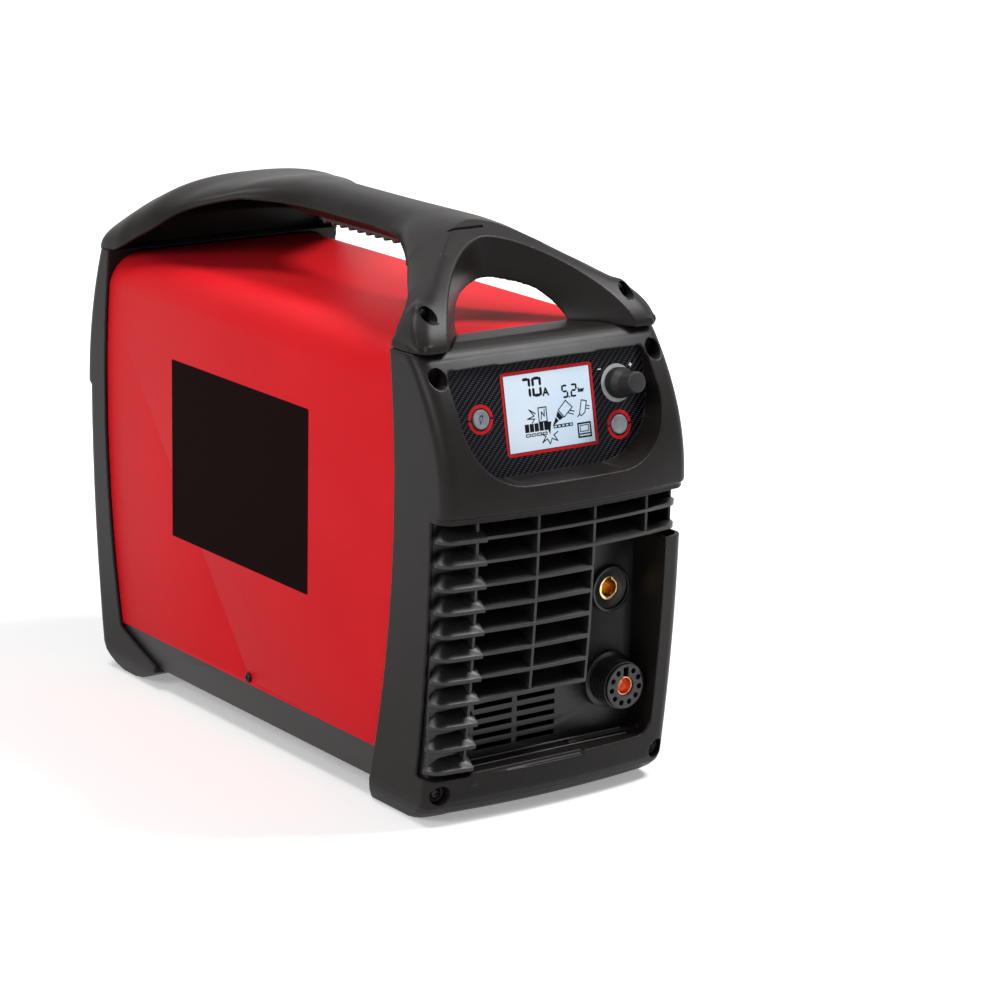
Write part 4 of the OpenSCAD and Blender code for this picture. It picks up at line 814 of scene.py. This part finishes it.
easedParts = {
    "front_grille": ("louvreGrille", 0.5, "grille", "unit"),
    "connector_panel": ("socketPanel", 0.35, "grille", "unit"),
    "earth_socket_body": ("earthSocket", 0.35, "black_plastic", "unit"),
    "earth_socket_contact": ("earthContact", 0.3, "brass", "unit"),
    "torch_connector_body": ("torchConnector", 0.25, "black_plastic", "unit"),
    "torch_connector_contact": ("torchContact", 0.25, "copper", "unit"),
    "red_cover": ("paintedCover", 0.25, "red_paint", "unit"),
    "base_tray": ("baseTray", 0.3, "black_paint", "unit"),
    "rear_panel": ("backPanel", 0.3, "black_paint", "unit"),
    "fan_frame": ("fanFrame", 0.5, "black_plastic", "unit"),
    "mains_switch_body": ("mainsSwitch", 0.7, "black_plastic", "unit"),
    "mains_switch_knob": ("mainsSwitchHandle", 0.8, "red_plastic", "mains_knob"),
    "cable_gland": ("cableGland", 0.6, "black_plastic", "unit"),
    "air_inlet": ("airInlet", 0.5, "brass", "unit"),
    "handle_insert": ("gripInsert", 0.4, "grille", "unit"),
}
for node, (name, width, finishName, body) in easedParts.items():
    part = copyNode(node, name)
    easeEdges(part, width)
    fitOut(part, finishName, body, [node])
print("eased parts made:", len(easedParts))


screwPlan = {"head": 3.9, "tall": 2.6, "slot": (0.9, 4.6, 1.4)}


def makeScrews(node, name, axis, plan):
    # a pan head with a cross recess for each screw, where the solid has its head
    source = copyNode(node, name + "Guide")
    clearSelection()
    pickUp(source)
    bpy.ops.object.mode_set(mode="EDIT")
    bpy.ops.mesh.select_all(action="SELECT")
    bpy.ops.mesh.separate(type="LOOSE")
    bpy.ops.object.mode_set(mode="OBJECT")
    heads = []
    for guide in list(bpy.context.selected_objects):
        points, _ = readPoints(guide)
        low, high = points.min(0), points.max(0)
        middle = (low + high) / 2
        side = np.sign(middle[axis])
        seat = high[axis] if side > 0 else low[axis]
        bpy.data.objects.remove(guide)
        r, tall = plan["head"], plan["tall"]
        head = turned(name, [(r - 0.3, -tall - 2), (r, -tall), (r, -0.9), (r - 0.5, -0.35), (r - 1.4, 0),
                             (0.6, 0)], 40)
        wide, long_, deep = plan["slot"]
        for half in ((long_ / 2, wide / 2), (wide / 2, long_ / 2)):
            cutWith(head, boxBetween("slot", (-half[0], -half[1], -deep), (half[0], half[1], 2)))
        smoothByAngle(head, 35)
        out = Vector((0, 0, 0))
        out[axis] = side
        middle[axis] = seat
        turn = out.to_track_quat("Z", "Y").to_matrix().to_4x4()
        heads.append(settle(head, Matrix.Translation(Vector(middle) * mm) @ turn))
    screws = joinUp(heads, name)
    fitOut(screws, "steel", "unit", [node])


for node, name, axis in (("front_screws", "frontScrews", 1), ("handle_screws", "handleScrews", 1),
                         ("rear_screws", "rearScrews", 1), ("cover_screws", "coverScrews", 0)):
    makeScrews(node, name, axis, screwPlan)
print("screws made")


controlPlan = {"lcd": (-39, -29.4, 41, 29.4), "overlay": 0.8,
               "left": (-60.7, 0), "right": (62.6, -18.6), "knob": (64, 12)}


def onPanel(piece, u=0, w=0, d=0):
    return settle(piece, panelPlace @ Matrix.Translation((u * mm, w * mm, d * mm)))


def makeKnob(plan):
    # skirt, cone and grip, with flutes pressed in all round the grip
    base = plan["overlay"] + 0.7
    knob = turned("amperageKnob", [(11.2, 0), (11.5, 0.5), (11.5, 6.6), (11.1, 7.6), (9.2, 10.8), (8.5, 12.2),
                                   (8.2, 13), (8.0, 23.8), (7.4, 24.7), (6.6, 25)], 72)
    pickUp(knob)
    for face in knob.data.polygons:
        middle = face.center
        turnAt = math.degrees(math.atan2(middle.y, middle.x)) % 20
        face.select = 0.013 < middle.z < 0.024 and abs(face.normal.z) < 0.3 and turnAt < 5
    bpy.ops.object.mode_set(mode="EDIT")
    bpy.ops.mesh.select_mode(type="FACE")
    bpy.ops.mesh.extrude_region_shrink_fatten(TRANSFORM_OT_shrink_fatten={"value": -0.35 * mm})
    bpy.ops.object.mode_set(mode="OBJECT")
    easeEdges(knob, 0.2, 2, 30)
    onPanel(knob, *plan["knob"], base)
    fitOut(knob, "knob", "knob", ["control_knob"])


def makeButton(name, place, node, body, withMark):
    cap = turned(name, [(3, -6.5), (3, -5.2), (8.8, -5.2), (8.8, -3.2), (7.2, -3.2), (7.2, 1.3), (6.8, 1.8),
                        (6.0, 1.95), (5.2, 1.7), (2.6, 1.45)], 48)
    smoothByAngle(cap, 35)
    onPanel(cap, *place)
    fitOut(cap, "button", body, [node])
    if withMark:
        # a small torch outline on the cap
        shape = [(-1.0, -3.2), (-0.4, -3.4), (0.4, -1.0), (1.7, 0.6), (1.9, 2.4), (0.9, 3.3), (-0.7, 2.8),
                 (-1.3, 1.2), (-1.2, -0.8)]
        inner = [(x * 0.72 + 0.05, y * 0.74) for x, y in shape]
        mark = flatRing(name + "Mark", shape, inner, 0, 0.08)
        onPanel(mark, place[0], place[1], 1.55)
        fitOut(mark, "segment", body)


def makeSplitRing(name, place, radius, band, gapDegrees, finishName):
    # a printed ring, open at both sides
    halves = []
    for start in (gapDegrees / 2, 180 + gapDegrees / 2):
        steps = 28
        line = [math.radians(start + (180 - gapDegrees) * i / steps) for i in range(steps + 1)]
        outline = [(radius * math.cos(a), radius * math.sin(a)) for a in line]
        outline += [((radius - band) * math.cos(a), (radius - band) * math.sin(a)) for a in reversed(line)]
        count = steps + 1
        points = [(x * mm, y * mm, 0) for x, y in outline]
        faces = [(i, i + 1, 2 * count - 2 - i, 2 * count - 1 - i) for i in range(steps)]
        halves.append(raiseFaces(name + "Half", points, faces, 0.1))
    ring = joinUp(halves, name)
    onPanel(ring, *place, controlPlan["overlay"])
    fitOut(ring, finishName)


def makePanelPrint(plan):
    left, foot, right, top = plan["lcd"]
    border = flatRing("displayBorder", roundedBox(left - 1.2, foot - 1.2, right + 1.2, top + 1.2, 3),
                      roundedBox(left + 0.4, foot + 0.9, right - 0.6, top - 0.9, 1.6), 0, 0.12)
    onPanel(border, 0, 0, plan["overlay"])
    fitOut(border, "printRed")
    circle = [math.radians(7.5 * i) for i in range(48)]
    dial = flatRing("knobScale", [(14.2 * math.cos(a), 14.2 * math.sin(a)) for a in circle],
                    [(11.0 * math.cos(a), 11.0 * math.sin(a)) for a in circle], 0, 0.1)
    onPanel(dial, *plan["knob"], plan["overlay"])
    fitOut(dial, "printGrey")
    makeSplitRing("leftButtonRing", plan["left"], 10.9, 2.5, 9, "printRed")
    makeSplitRing("rightButtonRing", plan["right"], 10.9, 2.5, 9, "printRed")
    minus = flatPlate("minusMark", roundedBox(-1.5, -0.4, 1.5, 0.4, 0.2, 2), 0, 0.1)
    onPanel(minus, 49.3, 23.7, plan["overlay"])
    fitOut(minus, "printWhite")
    bar, arm = 1.5, 0.42
    quarter = [(arm, bar), (-arm, bar), (-arm, arm)]
    cross = []
    for turn in range(4):
        cross += quarter
        quarter = [(-y, x) for x, y in quarter]
    plus = flatPlate("plusMark", cross, 0, 0.1)
    onPanel(plus, 78.2, 24, plan["overlay"])
    fitOut(plus, "printWhite")


# which bars of a seven-bar digit are lit: top, upper right, lower right, foot, lower left, upper left, middle
digitBars = {"0": "1111110", "2": "1101101", "5": "1011011", "7": "1110000"}


inkWeight = 1.3


def digitShapes(figure, x, y, wide, tall, thick):
    lit = digitBars[figure]
    half = thick / 2
    right, top, middle, gap = x + wide, y + tall, y + tall / 2, thick * 0.14
    lay = lambda a, b, c: [(a + gap + half, c), (a + gap + thick, c + half), (b - gap - thick, c + half),
                           (b - gap - half, c), (b - gap - thick, c - half), (a + gap + thick, c - half)]
    stand = lambda c, a, b: [(c, a + gap), (c + half, a + gap + half), (c + half, b - gap - half),
                             (c, b - gap), (c - half, b - gap - half), (c - half, a + gap + half)]
    bars = [lay(x, right, top - half), stand(right - half, middle, top), stand(right - half, y, middle),
            lay(x, right, y + half), stand(x + half, y, middle), stand(x + half, middle, top),
            lay(x, right, middle)]
    return [bar for bar, on in zip(bars, lit) if on == "1"]


def strokes(points, thick):
    # a line of a drawing as flat bars, one to each stretch
    shapes, thick = [], thick * inkWeight
    for (ax, ay), (bx, by) in zip(points, points[1:]):
        length = math.hypot(bx - ax, by - ay)
        ox, oy = -(by - ay) / length * thick / 2, (bx - ax) / length * thick / 2
        ex, ey = (bx - ax) / length * thick / 3, (by - ay) / length * thick / 3
        shapes.append([(ax - ex + ox, ay - ey + oy), (ax - ex - ox, ay - ey - oy),
                       (bx + ex - ox, by + ey - oy), (bx + ex + ox, by + ey + oy)])
    return shapes


def makeReadout(plan):
    shapes = digitShapes("7", -22.6, 10.4, 8.6, 14.6, 2.2) + digitShapes("0", -12.9, 10.4, 8.6, 14.6, 2.2)
    shapes += digitShapes("5", 13.2, 6.4, 6.0, 9.8, 1.45) + digitShapes("2", 21.2, 6.4, 6.0, 9.8, 1.45)
    shapes += [[(19.6, 6.4), (20.7, 6.4), (20.7, 7.5), (19.6, 7.5)]]
    # plate being cut: solid blocks, then open ones
    for i in range(5):
        x = -22.6 + 4.3 * i
        shapes.append([(x, -14.6), (x + 3.7, -14.6), (x + 3.7, -8.6), (x, -8.6)])
    for i in range(5):
        x = 3.4 + 3.5 * i
        shapes += strokes([(x, -14.0), (x + 2.8, -14.0), (x + 2.8, -12.2), (x, -12.2), (x, -14.0)], 0.55)
    for i in range(4):
        x = -22.0 + 5.0 * i
        shapes += strokes([(x, -17.6), (x + 3.6, -17.6), (x + 3.6, -16.0), (x, -16.0), (x, -17.6)], 0.55)
    # torch: dark nozzle and open body
    shapes.append([(2.2, -12.8), (5.6, -6.4), (8.2, -9.2)])
    shapes.append([(6.2, -5.8), (7.9, -2.2), (12.6, -7.4), (9.0, -9.0)])
    shapes += strokes([(8.6, -1.6), (15.8, 4.8), (21.4, -0.8), (13.4, -7.2), (8.6, -1.6)], 0.6)
    shapes += strokes([(17.0, -4.4), (22.0, -6.2)], 0.6) + strokes([(18.8, -3.0), (23.0, -4.0)], 0.6)
    # arc burst over and under the plate
    shapes += strokes([(-12.2, -1.6), (-17.6, 1.8), (-13.4, -3.2), (-19.6, -4.8), (-13.2, -5.4),
                       (-15.6, -8.0)], 0.6)
    shapes += strokes([(-9.4, -8.2), (-9.4, 2.2), (-2.2, 2.2), (-2.2, -8.2), (-9.4, -8.2)], 0.65)
    shapes += strokes([(-7.4, -6.6), (-6.6, -0.8), (-4.4, -4.4), (-4.0, 0.6)], 0.6)
    shapes.append([(-4.0, -8.8), (1.4, -8.8), (-0.8, -18.4)])
    shapes += strokes([(-7.8, -17.4), (-4.6, -19.2), (-8.2, -23.4), (-3.6, -21.0), (-1.4, -25.0),
                       (0.6, -21.2), (5.6, -23.4), (2.6, -18.8), (6.4, -16.8)], 0.6)
    # small torch and small unit at the right
    shapes += strokes([(25.4, -8.6), (27.4, -6.8), (30.2, 3.4), (34.8, 2.2), (32.4, -6.0), (28.8, -8.2),
                       (27.4, -6.8)], 0.6)
    shapes += strokes([(34.6, -1.2), (37.0, -1.8)], 0.6) + strokes([(34.0, -3.2), (36.6, -3.8)], 0.6)
    shapes += strokes([(25.0, -23.6), (25.0, -13.6), (36.2, -13.6), (36.2, -23.6), (25.0, -23.6)], 1.0)
    shapes += strokes([(26.8, -19.6), (26.8, -15.2), (34.4, -15.2), (34.4, -19.6), (26.8, -19.6)], 0.5)
    shapes += strokes([(26.2, -21.4), (35.0, -21.4)], 0.8)
    points, faces = [], []
    for shape in shapes:
        area = sum(a[0] * b[1] - b[0] * a[1] for a, b in zip(shape, shape[1:] + shape[:1]))
        shape = shape if area > 0 else shape[::-1]
        faces.append(tuple(range(len(points), len(points) + len(shape))))
        points += [(x * mm, y * mm, 0) for x, y in shape]
    readout = raiseFaces("readout", points, faces, 0.06)
    letters = [readout]
    for text, size, x, y in (("A", 8.2, -3.8, 10.4), ("bar", 4.2, 28.0, 9.6)):
        clearSelection()
        bpy.ops.object.text_add(location=(0, 0, 0))
        letter = bpy.context.object
        letter.data.body = text
        letter.data.size = size * mm
        letter.data.extrude = 0.03 * mm
        letter.data.offset = 0.0003
        bpy.ops.object.convert(target="MESH")
        settle(letter, Matrix.Translation((x * mm, y * mm, 0.03 * mm)))
        letters.append(letter)
    readout = joinUp(letters, "readout")
    onPanel(readout, 0, 0, plan["overlay"])
    fitOut(readout, "segment")


makeKnob(controlPlan)
makeButton("leftButton", controlPlan["left"], "button_left", "left_button", True)
makeButton("rightButton", controlPlan["right"], "button_right", "right_button", False)
makePanelPrint(controlPlan)
makeReadout(controlPlan)
print("control panel made")


fieldPlan = {"x": -107, "y": (-70, 128), "z": (136.5, 280.7)}


def makeSideField(plan):
    y0, y1 = plan["y"]
    z0, z1 = plan["z"]
    field = flatPlate("sideField", roundedBox(z0, y0, z1, y1, 0.6, 3), 0, 0.12)
    turn = Matrix.Translation((plan["x"] * mm, 0, 0)) @ Matrix.Rotation(math.radians(-90), 4, "Y")
    settle(field, turn)
    fitOut(field, "printBlack")


makeSideField(fieldPlan)
print("side field made")


floorPlan = {"size": 24, "base": 0.82, "near": 0.3, "far": 0.8, "start": 0.35, "end": 1.1}


def makeFloor(plan):
    # the sheet glows less close to the object, which paints shade round it on top of its real shadows, and
    # runs out into white further off
    clearSelection()
    bpy.ops.mesh.primitive_plane_add(size=plan["size"], location=(0, 0, 0))
    floor = bpy.context.object
    floor.name = "studioFloor"
    sheet = bpy.data.materials.new("studioFloor")
    sheet.use_nodes = True
    tree = sheet.node_tree
    nodes, links = tree.nodes, tree.links
    shader = nodes["Principled BSDF"]
    shader.inputs["Base Color"].default_value = (plan["base"], plan["base"], plan["base"], 1)
    shader.inputs["Roughness"].default_value = 0.9
    where = nodes.new("ShaderNodeTexCoord")
    away = nodes.new("ShaderNodeVectorMath")
    away.operation = "LENGTH"
    links.new(where.outputs["Object"], away.inputs[0])
    # painted shade: the floor's glow rises from near to far with distance from the object
    paintedShadeFade = nodes.new("ShaderNodeMapRange")
    paintedShadeFade.interpolation_type = "SMOOTHSTEP"
    paintedShadeFade.inputs["From Min"].default_value, paintedShadeFade.inputs["From Max"].default_value = plan["start"], plan["end"]
    paintedShadeFade.inputs["To Min"].default_value, paintedShadeFade.inputs["To Max"].default_value = plan["near"], plan["far"]
    links.new(away.outputs["Value"], paintedShadeFade.inputs["Value"])
    path = nodes.new("ShaderNodeLightPath")
    seen = sums(tree, "MAXIMUM", path.outputs["Is Camera Ray"],
                sums(tree, "MAXIMUM", path.outputs["Is Glossy Ray"], path.outputs["Is Transmission Ray"]))
    glow = nodes.new("ShaderNodeEmission")
    links.new(sums(tree, "MULTIPLY", seen, paintedShadeFade.outputs["Result"]), glow.inputs["Strength"])
    both = nodes.new("ShaderNodeAddShader")
    links.new(shader.outputs["BSDF"], both.inputs[0])
    links.new(glow.outputs["Emission"], both.inputs[1])
    links.new(both.outputs["Shader"], nodes["Material Output"].inputs["Surface"])
    floor.data.materials.append(sheet)


worldPlan = {"light": 0.2, "shown": 1.0}


def makeWorld(plan):
    world = bpy.data.worlds.new("studio")
    bpy.context.scene.world = world
    world.use_nodes = True
    tree = world.node_tree
    nodes, links = tree.nodes, tree.links
    background = nodes["Background"]
    background.inputs["Color"].default_value = (1, 1, 1, 1)
    path = nodes.new("ShaderNodeLightPath")
    seen = sums(tree, "MAXIMUM", path.outputs["Is Camera Ray"],
                sums(tree, "MAXIMUM", path.outputs["Is Glossy Ray"], path.outputs["Is Transmission Ray"]))
    strength = nodes.new("ShaderNodeMapRange")
    strength.inputs["To Min"].default_value = plan["light"]
    strength.inputs["To Max"].default_value = plan["shown"]
    links.new(seen, strength.inputs["Value"])
    links.new(strength.outputs["Result"], background.inputs["Strength"])


lampPlan = {
    "overheadLamp": {"place": (1.15, -0.7, 2.1), "size": (0.6, 0.6), "power": 48},
    "backLamp": {"place": (-0.5, 0.5, 2.2), "size": (0.8, 0.8), "power": 20},
    "sideLamp": {"place": (-2.1, -0.7, 1.5), "size": (0.9, 0.9), "power": 26},
}


def makeLamps(plan):
    for name, lamp in plan.items():
        bpy.ops.object.light_add(type="AREA", location=lamp["place"])
        light = bpy.context.object
        light.name = name
        light.data.shape = "RECTANGLE"
        light.data.size, light.data.size_y = lamp["size"]
        light.data.energy = lamp["power"]
        aim = Vector((0, 0, 0.2)) - Vector(lamp["place"])
        light.rotation_euler = aim.to_track_quat("-Z", "Y").to_euler()


makeFloor(floorPlan)
makeWorld(worldPlan)
makeLamps(lampPlan)
bpy.context.scene.view_settings.view_transform = "Standard"
print("floor and lamps made")
